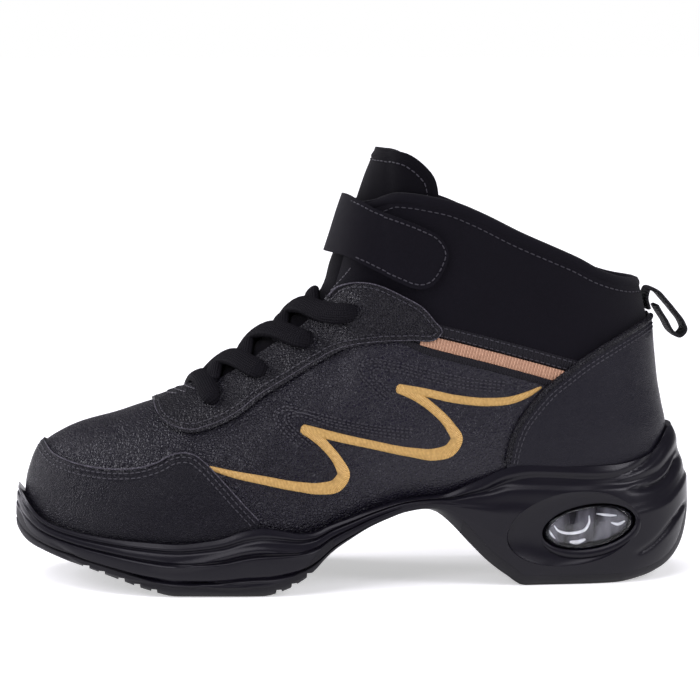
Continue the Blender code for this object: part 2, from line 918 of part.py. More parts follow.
def sole_block(name):
    """Whole sole, before the foot's cup and the layers are cut."""
    return ring_solid(name, sole_grid(sole_rows()))


def ellipse_prism(name, place, half_length, half_height, low, high, steps=26):
    """Tilted oval body across the shoe."""
    x0 = x_at(place[0])
    z0 = TONGUE_HEIGHT * place[1]
    outline = []
    for step in range(steps):
        turn = 2 * math.pi * step / steps
        u = half_length * math.cos(turn)
        v = half_height * math.sin(turn)
        x = x0 + u * math.cos(WINDOW_TILT) - v * math.sin(WINDOW_TILT)
        z = z0 + u * math.sin(WINDOW_TILT) + v * math.cos(WINDOW_TILT)
        outline.append((x, z))
    return prism_y(name, outline, low, high)


def heel_side_place():
    """Distance of the heel's side from the shoe's middle at the window."""
    x = x_at(WINDOW_PLACE[0])
    return float(plan_half_width(x)) + SOLE_FLARE


def make_midsole():
    """Moulded midsole: cup for the upper, side ribs, oval recesses and the tunnel of the heel window."""
    midsole = sole_block("midsole")
    combine(midsole, form_solid("cup", LEATHER_STEP + GAP, drop=GAP), "DIFFERENCE")
    for name, (start, end, _) in PADS.items():
        combine(midsole, pad_region(name + " seat", start, end, GAP), "DIFFERENCE")
    side = heel_side_place() - RECESS_DEPTH
    recess_place = (WINDOW_PLACE[0] - RECESS_MARGIN_BACK / SOLE_LENGTH * 2, WINDOW_PLACE[1])
    for low, high in ((-REACH, -side), (side, REACH)):
        recess = ellipse_prism("recess", recess_place, RECESS_HALF_LENGTH, RECESS_HALF_HEIGHT, low, high)
        combine(midsole, recess, "DIFFERENCE")
    tunnel = ellipse_prism(
        "tunnel", WINDOW_PLACE, WINDOW_HALF_LENGTH + GAP, WINDOW_HALF_HEIGHT + GAP, -REACH, REACH
    )
    combine(midsole, tunnel, "DIFFERENCE")
    return finish(midsole, "midsole", (0.013, 0.013, 0.015), 0.38)


def make_air_window():
    """Clear capsule through the heel, with domed ends."""
    side = heel_side_place() - RECESS_DEPTH
    rows = ((-1.0, 0.55), (-0.985, 0.80), (-0.95, 0.94), (-0.86, 1.0), (0.86, 1.0), (0.95, 0.94),
            (0.985, 0.80), (1.0, 0.55))
    steps = 24
    reach = side + 0.3 * RECESS_DEPTH
    middle = float(centre_line(x_at(WINDOW_PLACE[0])))
    points = []
    for across, size in rows:
        for step in range(steps):
            turn = 2 * math.pi * step / steps
            u = WINDOW_HALF_LENGTH * size * math.cos(turn)
            v = WINDOW_HALF_HEIGHT * size * math.sin(turn)
            x = x_at(WINDOW_PLACE[0]) + u * math.cos(WINDOW_TILT) - v * math.sin(WINDOW_TILT)
            z = TONGUE_HEIGHT * WINDOW_PLACE[1] + u * math.sin(WINDOW_TILT) + v * math.cos(WINDOW_TILT)
            points.append((x, middle + reach * across, z))
    faces = [tuple(range(steps)), tuple(range((len(rows) - 1) * steps, len(rows) * steps))]
    for row in range(len(rows) - 1):
        for step in range(steps):
            after = (step + 1) % steps
            low = row * steps
            faces.append((low + step, low + after, low + steps + after, low + steps + step))
    window = mesh_object("air_window", points, faces)
    turn_faces_out(window)
    return finish(window, "air_window", (0.75, 0.77, 0.78), 0.08, alpha=0.5)


def cross_groove(name, share):
    """Straight groove across the tread."""
    x = x_at(share)
    z = float(underside_height(x))
    half = GROOVE_WIDTH / 2
    top = z + GROOVE_DEPTH
    return prism_y(name, [(x - half, -REACH), (x + half, -REACH), (x + half, top), (x - half, top)])


def pivot_groove(name):
    """Ring-shaped groove of the turning spot under the ball of the foot."""
    steps = 28
    x0 = x_at(PIVOT_PLACE)
    y0 = float(centre_line(x0))
    radii = (PIVOT_RADIUS - GROOVE_WIDTH / 2, PIVOT_RADIUS + GROOVE_WIDTH / 2)
    points = []
    for radius in radii:
        for z in (-GROOVE_DEPTH, GROOVE_DEPTH):
            for step in range(steps):
                turn = 2 * math.pi * step / steps
                points.append((x0 + radius * math.cos(turn), y0 + radius * math.sin(turn), z))
    faces = []
    order = ((0, 1), (1, 3), (3, 2), (2, 0))
    for first, second in order:
        for step in range(steps):
            after = (step + 1) % steps
            low = first * steps
            high = second * steps
            faces.append((low + step, low + after, high + after, high + step))
    ring = mesh_object(name, points, faces)
    turn_faces_out(ring)
    return ring


def make_outsoles():
    """Rubber treads under the forefoot and the heel."""
    for name, (start, end, grooves) in PADS.items():
        pad = sole_block(name)
        combine(pad, pad_region(name + " region", start, end, 0.0), "INTERSECT")
        for share in grooves:
            combine(pad, cross_groove(name + " groove", share), "DIFFERENCE")
        if name == "outsole_forefoot":
            combine(pad, pivot_groove("pivot"), "DIFFERENCE")
        finish(pad, name, (0.010, 0.010, 0.011), 0.55)


def lace_bed():
    """Search tree of the surface that the lace lies on."""
    grid = form_grid(LEATHER_STEP + OVERLAY_WALL)
    levels, around = grid.shape[:2]
    faces = []
    for level in range(levels - 1):
        for step in range(around):
            after = (step + 1) % around
            low = level * around
            high = low + around
            faces.append((low + step, low + after, high + after, high + step))
    return BVHTree.FromPolygons([tuple(point) for point in grid.reshape(-1, 3)], faces)


def flat_band(name, path, normals, width, thickness):
    """Closed flat band along a path, its broad face along the given normals."""
    points = []
    for index, centre in enumerate(path):
        before = path[max(index - 1, 0)]
        after = path[min(index + 1, len(path) - 1)]
        along = (after - before).normalized()
        normal = normals[index]
        across = along.cross(normal).normalized()
        normal = across.cross(along).normalized()
        edge = 0.36
        corners = (
            (-0.5, 0.0), (-edge, -0.5), (edge, -0.5), (0.5, 0.0), (edge, 0.5), (-edge, 0.5),
        )
        for u, v in corners:
            points.append(centre + across * (u * width) + normal * (v * thickness))
    count = 6
    faces = [tuple(range(count)), tuple(range(len(points) - count, len(points)))]
    for index in range(len(path) - 1):
        for corner in range(count):
            after = (corner + 1) % count
            low = index * count
            high = low + count
            faces.append((low + corner, low + after, high + after, high + corner))
    band = mesh_object(name, points, faces)
    turn_faces_out(band)
    return band


def eyelet_place(row, side):
    """Plan place of an eyelet. side is -1 on the outer side and 1 on the inner side."""
    outer, inner, sideways = EYELETS[row]
    x = x_at(outer if side < 0 else inner)
    return x, float(centre_line(x)) + side * THROAT_HALF_WIDTH * sideways


def lace_strand(bed, start, end, rise):
    """One visible run of the lace between two eyelets, lying on its bed."""
    steps = 7
    clearance = LACE_CLEARANCE + LACE_THICKNESS / 2
    down = Vector((0.0, 0.0, -1.0))
    path = []
    normals = []
    for step in range(steps + 1):
        share = step / steps
        x = start[0] + (end[0] - start[0]) * share
        y = start[1] + (end[1] - start[1]) * share
        spot, normal, _, _ = bed.ray_cast(Vector((x, y, 2 * TONGUE_HEIGHT)), down)
        if normal.z < 0:
            normal = -normal
        off_middle = abs(y - float(centre_line(x))) / (0.9 * THROAT_HALF_WIDTH)
        lift = clearance + rise * max(0.0, 1 - off_middle ** 2)
        path.append(spot + normal * lift)
        normals.append(normal)
    return flat_band("strand", path, normals, LACE_WIDTH, LACE_THICKNESS)


def make_laces():
    """Crossing runs of the lace, one solid."""
    bed = lace_bed()
    laces = lace_strand(bed, eyelet_place(0, -1), eyelet_place(0, 1), 0.0)
    for row in range(1, len(EYELETS)):
        for side, rise in ((1, -LACE_SAG), (-1, LACE_CROSSING_RISE - LACE_SAG)):
            strand = lace_strand(bed, eyelet_place(row, side), eyelet_place(row - 1, -side), rise)
            combine(laces, strand, "UNION")
    return finish(laces, "laces", (0.012, 0.012, 0.013), 0.8)


def make_pull_loop():
    """Webbing loop at the back of the collar."""
    rows = [Vector((x_at(row[0]), 0.0, TONGUE_HEIGHT * row[1])) for row in LOOP_PATH]
    count = len(rows)
    places = list(range(count))
    fine = np.linspace(0, count - 1, 2 * count - 1)
    xs = smooth_value(fine, places, [row.x for row in rows])
    zs = smooth_value(fine, places, [row.z for row in rows])
    y = float(centre_line(x_at(0.95)))
    path = [Vector((float(x), y, float(z))) for x, z in zip(xs, zs)]
    normals = []
    for index in range(len(path)):
        before = path[max(index - 1, 0)]
        after = path[min(index + 1, len(path) - 1)]
        normals.append((after - before).cross(Vector((0.0, 1.0, 0.0))).normalized())
    loop = flat_band("pull_loop", path, normals, LOOP_WIDTH, LOOP_THICKNESS)
    return finish(loop, "pull_loop", (0.012, 0.012, 0.013), 0.75)


def centre_on_ground():
    """Move every piece so that the origin is on the ground under the middle of the shoe's box."""
    pieces = [obj for obj in bpy.context.scene.objects if obj.type == "MESH"]
    corners = []
    for piece in pieces:
        for vert in piece.data.vertices:
            corners.append(tuple(vert.co))
    corners = np.array(corners)
    low = corners.min(axis=0)
    high = corners.max(axis=0)
    shift = Vector((-(low[0] + high[0]) / 2, -(low[1] + high[1]) / 2, -low[2]))
    for piece in pieces:
        for vert in piece.data.vertices:
            vert.co = vert.co + shift


def main():
    for obj in list(bpy.data.objects):
        bpy.data.objects.remove(obj)
    make_upper()
    make_overlays()
    make_tongue()
    make_strap()
    make_insole()
    make_midsole()
    make_outsoles()
    make_air_window()
    make_laces()
    make_pull_loop()
    centre_on_ground()


main()
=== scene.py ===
"""Dance sneaker, left shoe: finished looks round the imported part, in metres, toe to -X, outer side to -Y."""
import math

import bmesh
import bpy
import numpy as np
from mathutils import Matrix, Vector
from mathutils.bvhtree import BVHTree


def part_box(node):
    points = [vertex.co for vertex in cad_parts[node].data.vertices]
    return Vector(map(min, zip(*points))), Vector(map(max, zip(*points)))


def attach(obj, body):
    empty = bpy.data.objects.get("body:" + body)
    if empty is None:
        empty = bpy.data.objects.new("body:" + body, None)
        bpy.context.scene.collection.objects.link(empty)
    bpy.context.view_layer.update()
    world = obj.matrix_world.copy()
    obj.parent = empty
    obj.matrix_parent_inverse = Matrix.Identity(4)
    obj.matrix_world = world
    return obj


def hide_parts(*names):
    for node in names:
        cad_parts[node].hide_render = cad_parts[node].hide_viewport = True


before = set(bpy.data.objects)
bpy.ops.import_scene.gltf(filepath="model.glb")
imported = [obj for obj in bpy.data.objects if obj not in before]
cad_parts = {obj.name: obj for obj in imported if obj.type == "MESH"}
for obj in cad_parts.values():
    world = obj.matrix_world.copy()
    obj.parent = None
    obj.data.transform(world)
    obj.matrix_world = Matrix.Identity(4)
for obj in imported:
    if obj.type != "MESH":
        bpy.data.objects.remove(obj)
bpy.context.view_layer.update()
bpy.ops.object.select_all(action="DESELECT")

# Camera: the photograph's viewing angle, one level turn and one tilt, no shift
CAMERA_TURN = math.radians(-6.0)
CAMERA_TILT = math.radians(6.0)
CAMERA_DISTANCE = 1.2
CAMERA_TARGET = Vector((-0.00164, -0.00001, 0.08847))
IMAGE_SIDE = 700
SENSOR = 36.0
FOCAL_PIXELS = 3072.3
CAMERA_BACK = Vector((
    math.sin(CAMERA_TURN) * math.cos(CAMERA_TILT),
    -math.cos(CAMERA_TURN) * math.cos(CAMERA_TILT),
    math.sin(CAMERA_TILT),
))


def put_in_scene(name, data, place, direction):
    """Camera or lamp at a place, looking in a direction."""
    obj = bpy.data.objects.new(name, data)
    obj.location = place
    obj.rotation_mode = "QUATERNION"
    obj.rotation_quaternion = Vector(direction).to_track_quat("-Z", "Y")
    bpy.context.scene.collection.objects.link(obj)
    return obj


def make_camera():
    """Camera at the photograph's angle."""
    data = bpy.data.cameras.new("camera")
    data.sensor_width = SENSOR
    data.lens = FOCAL_PIXELS * SENSOR / IMAGE_SIDE
    place = CAMERA_TARGET + CAMERA_BACK * CAMERA_DISTANCE
    bpy.context.scene.camera = put_in_scene("camera", data, place, -CAMERA_BACK)


make_camera()

# Driving sizes
SOLE_LENGTH = 0.2635
TONGUE_HEIGHT = 0.168
BALL_WIDTH = 0.086
HEEL_WIDTH = 0.064
ANKLE_WIDTH = 0.054
SOLE_FLARE = 0.005

# Walls and clearances
GAP = 0.0003
UPPER_WALL = 0.0022
LEATHER_STEP = 0.0010
OVERLAY_WALL = 0.0011
TONGUE_WALL = 0.0038
STRAP_WALL = 0.0026
STRAP_STANDOFF = 0.0003
INSOLE_THICKNESS = 0.0032
OUTSOLE_THICKNESS = 0.0042
THROAT_HALF_WIDTH = 0.0120
TONGUE_HALF_WIDTH = 0.0265
LACE_WIDTH = 0.0064
LOOP_WIDTH = 0.0130
LOOP_THICKNESS = 0.0015
GROOVE_DEPTH = 0.0016
GROOVE_WIDTH = 0.0024
PIVOT_RADIUS = 0.0175
RECESS_DEPTH = 0.0036
WINDOW_HALF_LENGTH = 0.0182
WINDOW_HALF_HEIGHT = 0.0086
WINDOW_TILT = math.radians(9.0)
RECESS_MARGIN_BACK = 0.0030
RECESS_HALF_LENGTH = 0.0262
RECESS_HALF_HEIGHT = 0.0142

# Front line of the last, from the toe's feather edge over the vamp to the top of the tongue:
# length share, height share
FRONT_LINE = (
    (0.0170, 0.167), (0.0175, 0.226), (0.0240, 0.274), (0.0400, 0.317), (0.0680, 0.340), (0.1020, 0.360),
    (0.1520, 0.381), (0.1970, 0.406), (0.2420, 0.431), (0.2800, 0.457), (0.3300, 0.511), (0.3790, 0.568),
    (0.4240, 0.620), (0.4500, 0.662), (0.4650, 0.720), (0.4780, 0.790), (0.4900, 0.862), (0.5060, 0.940),
    (0.5215, 1.000), (0.5370, 1.070),
)

# Back line of the last, from the footbed up: height share, length share
BACK_LINE = (
    (0.190, 0.9480), (0.270, 0.9600), (0.340, 0.9600), (0.400, 0.9530), (0.450, 0.9470), (0.520, 0.9420),
    (0.600, 0.9370), (0.650, 0.9300), (0.690, 0.9240), (0.800, 0.9200), (0.950, 0.9250),
)

# Footbed, where the foot's weight is carried: length share, height share
FOOTBED = (
    (0.000, 0.200), (0.030, 0.158), (0.065, 0.124), (0.120, 0.096), (0.200, 0.081), (0.290, 0.081),
    (0.365, 0.098), (0.425, 0.120), (0.470, 0.150), (0.515, 0.178), (0.555, 0.197), (0.600, 0.205),
    (0.670, 0.209), (0.800, 0.212), (1.000, 0.226),
)

# Plan of the last: length share, shift of the centre line as a share of BALL_WIDTH,
# half-width as a share of BALL_WIDTH before the heel's own width takes over
LAST_PLAN = (
    (0.000, 0.110, 0.400), (0.080, 0.080, 0.440), (0.160, 0.050, 0.478), (0.240, 0.025, 0.498),
    (0.320, 0.000, 0.500), (0.400, -0.018, 0.478), (0.500, -0.022, 0.428), (0.600, -0.012, 0.392),
    (0.700, 0.000, 0.374), (0.820, 0.010, 0.372), (1.000, 0.012, 0.366),
)

# How the last narrows with height above the footbed: rise as a share of TONGUE_HEIGHT, share of the width
WIDTH_BY_RISE = (
    (0.000, 0.900), (0.060, 0.985), (0.130, 1.000), (0.270, 0.955), (0.400, 0.880), (0.560, 0.820),
    (0.700, 0.820), (1.000, 0.850),
)

# Roundness of the section across the foot: length share, exponent (2 is an ellipse, more is boxier)
SECTION_ROUNDNESS = (
    (0.00, 2.45), (0.15, 2.35), (0.28, 2.05), (0.42, 1.95), (0.55, 2.20), (1.00, 2.40),
)

# Top edge of the sole's side: length share, height share
SOLE_RIM = (
    (0.000, 0.218), (0.014, 0.182), (0.034, 0.155), (0.062, 0.142), (0.105, 0.131), (0.180, 0.122),
    (0.228, 0.119), (0.268, 0.125), (0.292, 0.132), (0.324, 0.149), (0.348, 0.155), (0.379, 0.148),
    (0.405, 0.140), (0.422, 0.141), (0.447, 0.156), (0.477, 0.171), (0.513, 0.190), (0.559, 0.208),
    (0.615, 0.216), (0.653, 0.238), (0.679, 0.254), (0.708, 0.273), (0.734, 0.279), (0.807, 0.274),
    (0.872, 0.275), (0.906, 0.283), (0.933, 0.296), (0.954, 0.324), (0.975, 0.350), (1.000, 0.360),
)

# Underside of the sole, seen from the side: length share, height share
SOLE_UNDERSIDE = (
    (0.000, 0.135), (0.008, 0.112), (0.020, 0.094), (0.045, 0.080), (0.105, 0.052), (0.147, 0.033),
    (0.185, 0.014), (0.228, 0.000), (0.350, 0.000), (0.382, 0.012), (0.405, 0.030), (0.422, 0.050),
    (0.434, 0.072), (0.449, 0.095), (0.477, 0.125), (0.500, 0.147), (0.528, 0.166), (0.552, 0.179),
    (0.582, 0.185), (0.600, 0.181), (0.614, 0.168), (0.630, 0.145), (0.655, 0.103), (0.685, 0.056),
    (0.710, 0.026), (0.738, 0.000), (0.872, 0.000), (0.913, 0.008), (0.940, 0.018), (0.962, 0.036),
    (0.980, 0.064), (0.993, 0.110), (1.000, 0.190),
)

# Side of the midsole from the underside up to the rim: share of the side's height,
# outset at the forefoot and at the heel, and lean of the back end, all three as shares of SOLE_FLARE
SOLE_SIDE = (
    (0.00, -0.85, -1.10, 0.00), (0.05, -0.35, -0.55, 0.00), (0.14, -0.02, -0.18, 0.00),
    (0.24, 0.04, 0.00, 0.00), (0.28, -0.22, 0.04, 0.00), (0.33, 0.04, 0.08, 0.00),
    (0.58, 0.00, 0.08, -0.05), (0.63, -0.28, -0.24, -0.25), (0.68, -0.08, -0.04, -0.25),
    (0.80, -0.16, -0.16, -0.55), (0.85, -0.42, -0.52, -0.70), (0.90, -0.30, -0.40, -0.75),
    (1.00, -0.46, -0.62, -0.95),
)

# Edge of the toe guard, from in front of the toe to the rim: length share, height share
TOE_GUARD_EDGE = (
    (-0.020, 0.336), (0.035, 0.333), (0.042, 0.322), (0.054, 0.302), (0.076, 0.287), (0.108, 0.277),
    (0.141, 0.274), (0.184, 0.281), (0.206, 0.293), (0.223, 0.307), (0.239, 0.312), (0.256, 0.309),
    (0.271, 0.293), (0.293, 0.259), (0.318, 0.217), (0.345, 0.172),
)

# Outline of the eyestay: length share, height share
EYESTAY_EDGE = (
    (0.203, 0.480), (0.204, 0.422), (0.207, 0.395), (0.213, 0.381), (0.222, 0.371), (0.248, 0.360),
    (0.284, 0.372), (0.320, 0.399), (0.353, 0.437), (0.395, 0.477), (0.437, 0.516), (0.480, 0.552),
    (0.524, 0.564), (0.568, 0.567), (0.607, 0.571), (0.614, 0.585), (0.604, 0.608), (0.587, 0.639),
    (0.560, 0.664), (0.534, 0.684), (0.507, 0.694), (0.490, 0.692), (0.472, 0.679), (0.460, 0.657),
    (0.440, 0.700), (0.300, 0.660),
)

# Upper edge of the leather, where the collar fabric begins: length share, height share
LEATHER_EDGE = (
    (0.452, 0.760), (0.462, 0.662), (0.474, 0.674), (0.491, 0.686), (0.507, 0.688), (0.533, 0.678),
    (0.558, 0.658), (0.584, 0.633), (0.600, 0.604), (0.606, 0.546), (0.634, 0.529), (0.683, 0.505),
    (0.734, 0.482), (0.790, 0.462), (0.830, 0.520), (0.900, 0.570), (0.945, 0.598), (1.020, 0.602),
)

# Edge of the heel counter, from the rim up to the back: length share, height share
COUNTER_EDGE = (
    (0.7095, 0.285), (0.7135, 0.318), (0.7260, 0.370), (0.7470, 0.415), (0.7690, 0.452), (0.7950, 0.484),
    (0.8200, 0.513), (0.8590, 0.548), (0.8990, 0.579), (0.9420, 0.605), (1.0200, 0.610),
)

# Ribbon along the quarter's top: length share, height share of its upper and of its lower edge
RIBBON_EDGES = (
    (0.6180, 0.5670, 0.5400), (0.6500, 0.5540, 0.5270), (0.7000, 0.5330, 0.5060),
    (0.7500, 0.5115, 0.4845), (0.7760, 0.5000, 0.4720),
)

# Top of the collar from the front wing to the heel: length share, height share
COLLAR_EDGE = (
    (0.480, 0.872), (0.523, 0.883), (0.546, 0.897), (0.571, 0.896), (0.599, 0.889), (0.635, 0.876),
    (0.672, 0.852), (0.731, 0.806), (0.791, 0.765), (0.817, 0.747), (0.855, 0.716), (0.898, 0.696),
    (0.930, 0.692), (1.020, 0.692),
)

# Outline of the tongue: length share, height share
TONGUE_EDGE = (
    (0.380, 1.004), (0.505, 1.004), (0.534, 0.998), (0.567, 0.986), (0.596, 0.960), (0.619, 0.932),
    (0.629, 0.904), (0.622, 0.840), (0.590, 0.750), (0.545, 0.660), (0.490, 0.590), (0.420, 0.505),
    (0.345, 0.430), (0.262, 0.380), (0.252, 0.400), (0.252, 0.520),
)

# Outline of the strap: length share, height share
STRAP_EDGE = (
    (0.380, 0.893), (0.484, 0.893), (0.498, 0.885), (0.521, 0.864), (0.555, 0.843), (0.591, 0.820),
    (0.610, 0.804), (0.622, 0.779), (0.625, 0.761), (0.621, 0.736), (0.612, 0.709), (0.601, 0.691),
    (0.584, 0.683), (0.572, 0.686), (0.555, 0.697), (0.528, 0.718), (0.500, 0.740), (0.478, 0.757),
    (0.380, 0.762),
)

# Side view of the pull loop, along its middle: length share, height share
LOOP_PATH = (
    (0.9405, 0.6180), (0.9368, 0.6480), (0.9410, 0.6660), (0.9520, 0.6600), (0.9660, 0.6380),
    (0.9800, 0.6120), (0.9930, 0.5840), (0.9960, 0.5690), (0.9870, 0.5540), (0.9780, 0.5620),
    (0.9660, 0.5920), (0.9560, 0.6160), (0.9525, 0.6260),
)

# Middle of the turning spot along the shoe, and of the heel window: length share, height share
PIVOT_PLACE = 0.285
WINDOW_PLACE = (0.8320, 0.1340)

# Treads: where each pad starts and ends and its cross grooves, as length shares
PADS = {
    "outsole_forefoot": (-0.02, 0.452, [0.100, 0.122, 0.150, 0.172, 0.196, 0.374, 0.396, 0.418]),
    "outsole_heel": (0.642, 1.02, [0.735, 0.755, 0.780, 0.805, 0.830, 0.855, 0.880]),
}

# Both sides of the shoe, and their names
SIDES = (-1, 1)
SIDE_NAMES = ("outer", "inner")

# Length shares of the throat opening, how far the cutting bodies reach, and how near points are merged
THROAT_START = 0.268
THROAT_END = 0.562
REACH = 0.120
FAR = 0.2
FAR_DOWN = -0.1
WELD = 0.000004
COOL_WHITE = (0.94, 0.92, 1.0)

# Fineness of the finished pieces
RING_POINTS = 184
RING_LEVELS = 88
SOLE_RING_POINTS = 320
SOLE_RING_ROWS = 72

# Back of the sole where its ridges curl over the heel: share of the side's height, lean in flares
BACK_LEANS = {0.85: -0.25, 0.90: -0.42, 1.00: -0.62}
TOE_TIP_RISE = 0.0025

# How far to each side the grooves of the heel tread go
HEEL_GROOVE_REACH = 0.0270

# How far round the tongue's top edge its rolled border goes, in points of the fine line
TONGUE_ROLL_POINTS = 66

# Where the tongue's back edge is trimmed: length shares before and after
TONGUE_TRIM = {0.596: 0.592, 0.619: 0.607, 0.629: 0.612, 0.622: 0.609}

# Soft troughs and swellings of the leather and the padding, seen from the side:
# length share, height share, reach along and up in metres, height in metres
SOFT_SPOTS = (
    (0.030, 0.270, 0.0110, 0.018, -0.00190), (0.215, 0.345, 0.0060, 0.016, -0.00045),
    (0.262, 0.330, 0.0055, 0.015, -0.00050), (0.306, 0.345, 0.0060, 0.015, -0.00035),
    (0.405, 0.300, 0.0120, 0.020, 0.00030), (0.560, 0.330, 0.0200, 0.018, 0.00035),
    (0.655, 0.420, 0.0090, 0.020, -0.00045), (0.700, 0.610, 0.0300, 0.016, 0.00110),
    (0.800, 0.640, 0.0260, 0.014, 0.00120), (0.580, 0.620, 0.0120, 0.010, -0.00050),
    (0.640, 0.780, 0.0200, 0.012, 0.00090), (0.860, 0.440, 0.0160, 0.016, 0.00030),
    (0.745, 0.350, 0.0070, 0.016, -0.00030),
)

# Lines seen from the outer side, in the photograph's frame of 700 by 700: across, down
HEEL_RIDGE_LOW = (
    (480, 497), (499, 486), (526, 479), (559, 479), (594, 480), (619, 478), (645, 467), (662, 452),
    (676, 432),
)
HEEL_RIDGE_BACK = ((628, 491), (645, 489), (660, 485), (671, 476), (679, 462))
HEEL_WRAP = ((634, 556), (646, 549), (660, 537), (672, 522), (684, 504))
TOE_RIB_HIGH = ((50, 541), (80, 560), (115, 572), (160, 580), (196, 583), (233, 585), (285, 581))
TOE_RIB_LOW = ((52, 547), (80, 566), (115, 578), (160, 586), (196, 589), (233, 591), (280, 586))
FORE_RIDGE = ((150, 567), (184, 566), (208, 562), (233, 555), (257, 551), (290, 553), (330, 551))
GOLD_STROKES = (
    ((208, 468, 3.0), (230, 474, 5.0), (262, 480.5, 6.5), (299, 487, 7.5), (320, 488.5, 9.0),
     (336, 485, 10.5), (343, 475, 10.0), (338, 462, 8.0), (327, 448, 7.5), (315, 437, 8.0), (301, 429, 7.0)),
    ((301, 429, 7.0), (322, 434, 7.0), (366, 443.5, 6.5), (411, 452, 7.5), (434, 454, 9.5), (450, 449, 10.5),
     (456, 439, 10.0), (450, 427, 8.0), (433, 409, 7.0), (413, 395, 7.5), (396, 388, 7.0)),
    ((396, 388, 7.0), (422, 392, 6.5), (455, 399, 6.5), (489, 402, 6.5), (511, 400, 6.0), (529, 393.5, 4.5),
     (541, 387, 2.0)),
)
ECHO_STROKES = (
    ((300, 447), (288, 436), (278, 424), (276, 415), (284, 410), (300, 412), (330, 419), (370, 427),
     (412, 431)),
    ((312, 446), (300, 436), (289, 425), (286, 419), (293, 416), (330, 425), (370, 433), (408, 438)),
    ((386, 399), (373, 388), (363, 377), (360, 367), (368, 362), (390, 363), (425, 371), (468, 380),
     (505, 384)),
    ((393, 396), (382, 386), (372, 376), (372, 370), (392, 370), (425, 378), (468, 387), (500, 390)),
)
LACE_HOLES = ((217, 404), (266, 374), (313, 342), (357, 312))

# Moulded relief of the sole's side: line, width and height in metres, shares that fade at its start and end
SOLE_RELIEF = (
    (HEEL_RIDGE_LOW, 0.0013, -0.0013, 0.12, 0.0),
    (HEEL_RIDGE_BACK, 0.0011, -0.0013, 0.25, 0.0),
    (HEEL_WRAP, 0.0010, -0.0011, 0.20, 0.0),
    (TOE_RIB_HIGH, 0.0008, -0.0007, 0.10, 0.10),
    (TOE_RIB_LOW, 0.0007, -0.0006, 0.10, 0.10),
    (FORE_RIDGE, 0.0012, 0.0009, 0.15, 0.15),
)

# Seams of the air chamber, painted near-white as highlights: name, line as shares of the window's half-length
# and half-height, width
CHAMBER_SEAMS = (
    (
        "cup",
        ((-0.72, 0.30), (-0.62, -0.02), (-0.38, -0.20), (-0.12, -0.18), (0.02, 0.10), (0.06, 0.48)),
        0.0013,
    ),
    ("blob", ((-0.44, -0.58), (-0.28, -0.66), (-0.10, -0.58)), 0.0019),
    ("left", ((-0.84, 0.12), (-0.80, -0.10), (-0.74, -0.30)), 0.0010),
    ("shelf", ((0.22, 0.50), (0.44, 0.36), (0.64, 0.26)), 0.0011),
    ("right", ((0.50, -0.02), (0.66, -0.16), (0.80, -0.06)), 0.0012),
)

# Inner lace holes, and where the runs of the lace cross the ridge of the throat: length shares.
# How far to the side the inner holes stand: shares of THROAT_HALF_WIDTH
INNER_HOLES = (0.262, 0.325, 0.388, 0.450)
LACE_RIDGES = (0.272, 0.310, 0.362, 0.414)
INNER_HOLE_SPREAD = (1.80, 1.72, 1.66, 1.72)


def x_at(share):
    """Place along the shoe, from a share of the sole's length."""
    return (share - 0.5) * SOLE_LENGTH


def share_at(x):
    """Share of the sole's length, from a place along the shoe."""
    return np.asarray(x) / SOLE_LENGTH + 0.5


def smooth_value(at, places, values):
    """Smooth curve through a table, without overshoot between its rows."""
    places = np.asarray(places, float)
    values = np.asarray(values, float)
    spans = np.diff(places)
    slopes = np.diff(values) / spans
    tangents = np.zeros(len(values))
    tangents[0] = slopes[0]
    tangents[-1] = slopes[-1]
    for row in range(1, len(values) - 1):
        before = slopes[row - 1]
        after = slopes[row]
        if before * after > 0:
            near = 2 * spans[row] + spans[row - 1]
            far = spans[row] + 2 * spans[row - 1]
            tangents[row] = (near + far) / (near / before + far / after)
    at = np.clip(np.asarray(at, float), places[0], places[-1])
    row = np.clip(np.searchsorted(places, at, side="right") - 1, 0, len(spans) - 1)
    span = spans[row]
    part = (at - places[row]) / span
    start = (1 + 2 * part) * (1 - part) ** 2 * values[row]
    start_slope = part * (1 - part) ** 2 * span * tangents[row]
    end = part ** 2 * (3 - 2 * part) * values[row + 1]
    end_slope = part ** 2 * (part - 1) * span * tangents[row + 1]
    return start + start_slope + end + end_slope


def column(table, index):
    """One column of a table."""
    return [row[index] for row in table]


def table_value(at, table, index=1):
    """Smooth curve through a table, against its first column."""
    return smooth_value(at, column(table, 0), column(table, index))


def side_line(table):
    """Side view points in metres from a table of length and height shares."""
    return [(x_at(row[0]), TONGUE_HEIGHT * row[1]) for row in table]


def height_from(table, x):
    """Height over the ground at a place along the shoe, from a table of length and height shares."""
    return TONGUE_HEIGHT * table_value(share_at(x), table)


def footbed_height(x):
    """Height of the footbed over the ground."""
    return height_from(FOOTBED, x)


def underside_height(x):
    """Height of the sole's underside."""
    return height_from(SOLE_UNDERSIDE, x)


def smooth_step(value):
    """Even rise from nought to one with soft ends."""
    value = np.clip(value, 0.0, 1.0)
    return value * value * (3 - 2 * value)


def lengths_along(points):
    """Length of a path up to each of its points."""
    steps = np.linalg.norm(np.diff(points, axis=0), axis=1)
    return np.concatenate(((0.0,), np.cumsum(steps)))


def sampled(at, places, rows):
    """Rows of values, read off at places along a path."""
    return np.column_stack([np.interp(at, places, values) for values in rows.T])


def unit(vectors):
    """The same directions, each one long."""
    return vectors / np.maximum(np.linalg.norm(vectors, axis=-1, keepdims=True), 1e-12)


def front_line_points():
    """Fine points along the last's front line: length along it, place, height."""
    points = np.array(side_line(FRONT_LINE))
    along = lengths_along(points)
    fine = np.linspace(0.0, along[-1], 400)
    return fine, smooth_value(fine, along, points[:, 0]), smooth_value(fine, along, points[:, 1])


FRONT_ALONG, FRONT_X, FRONT_Z = front_line_points()


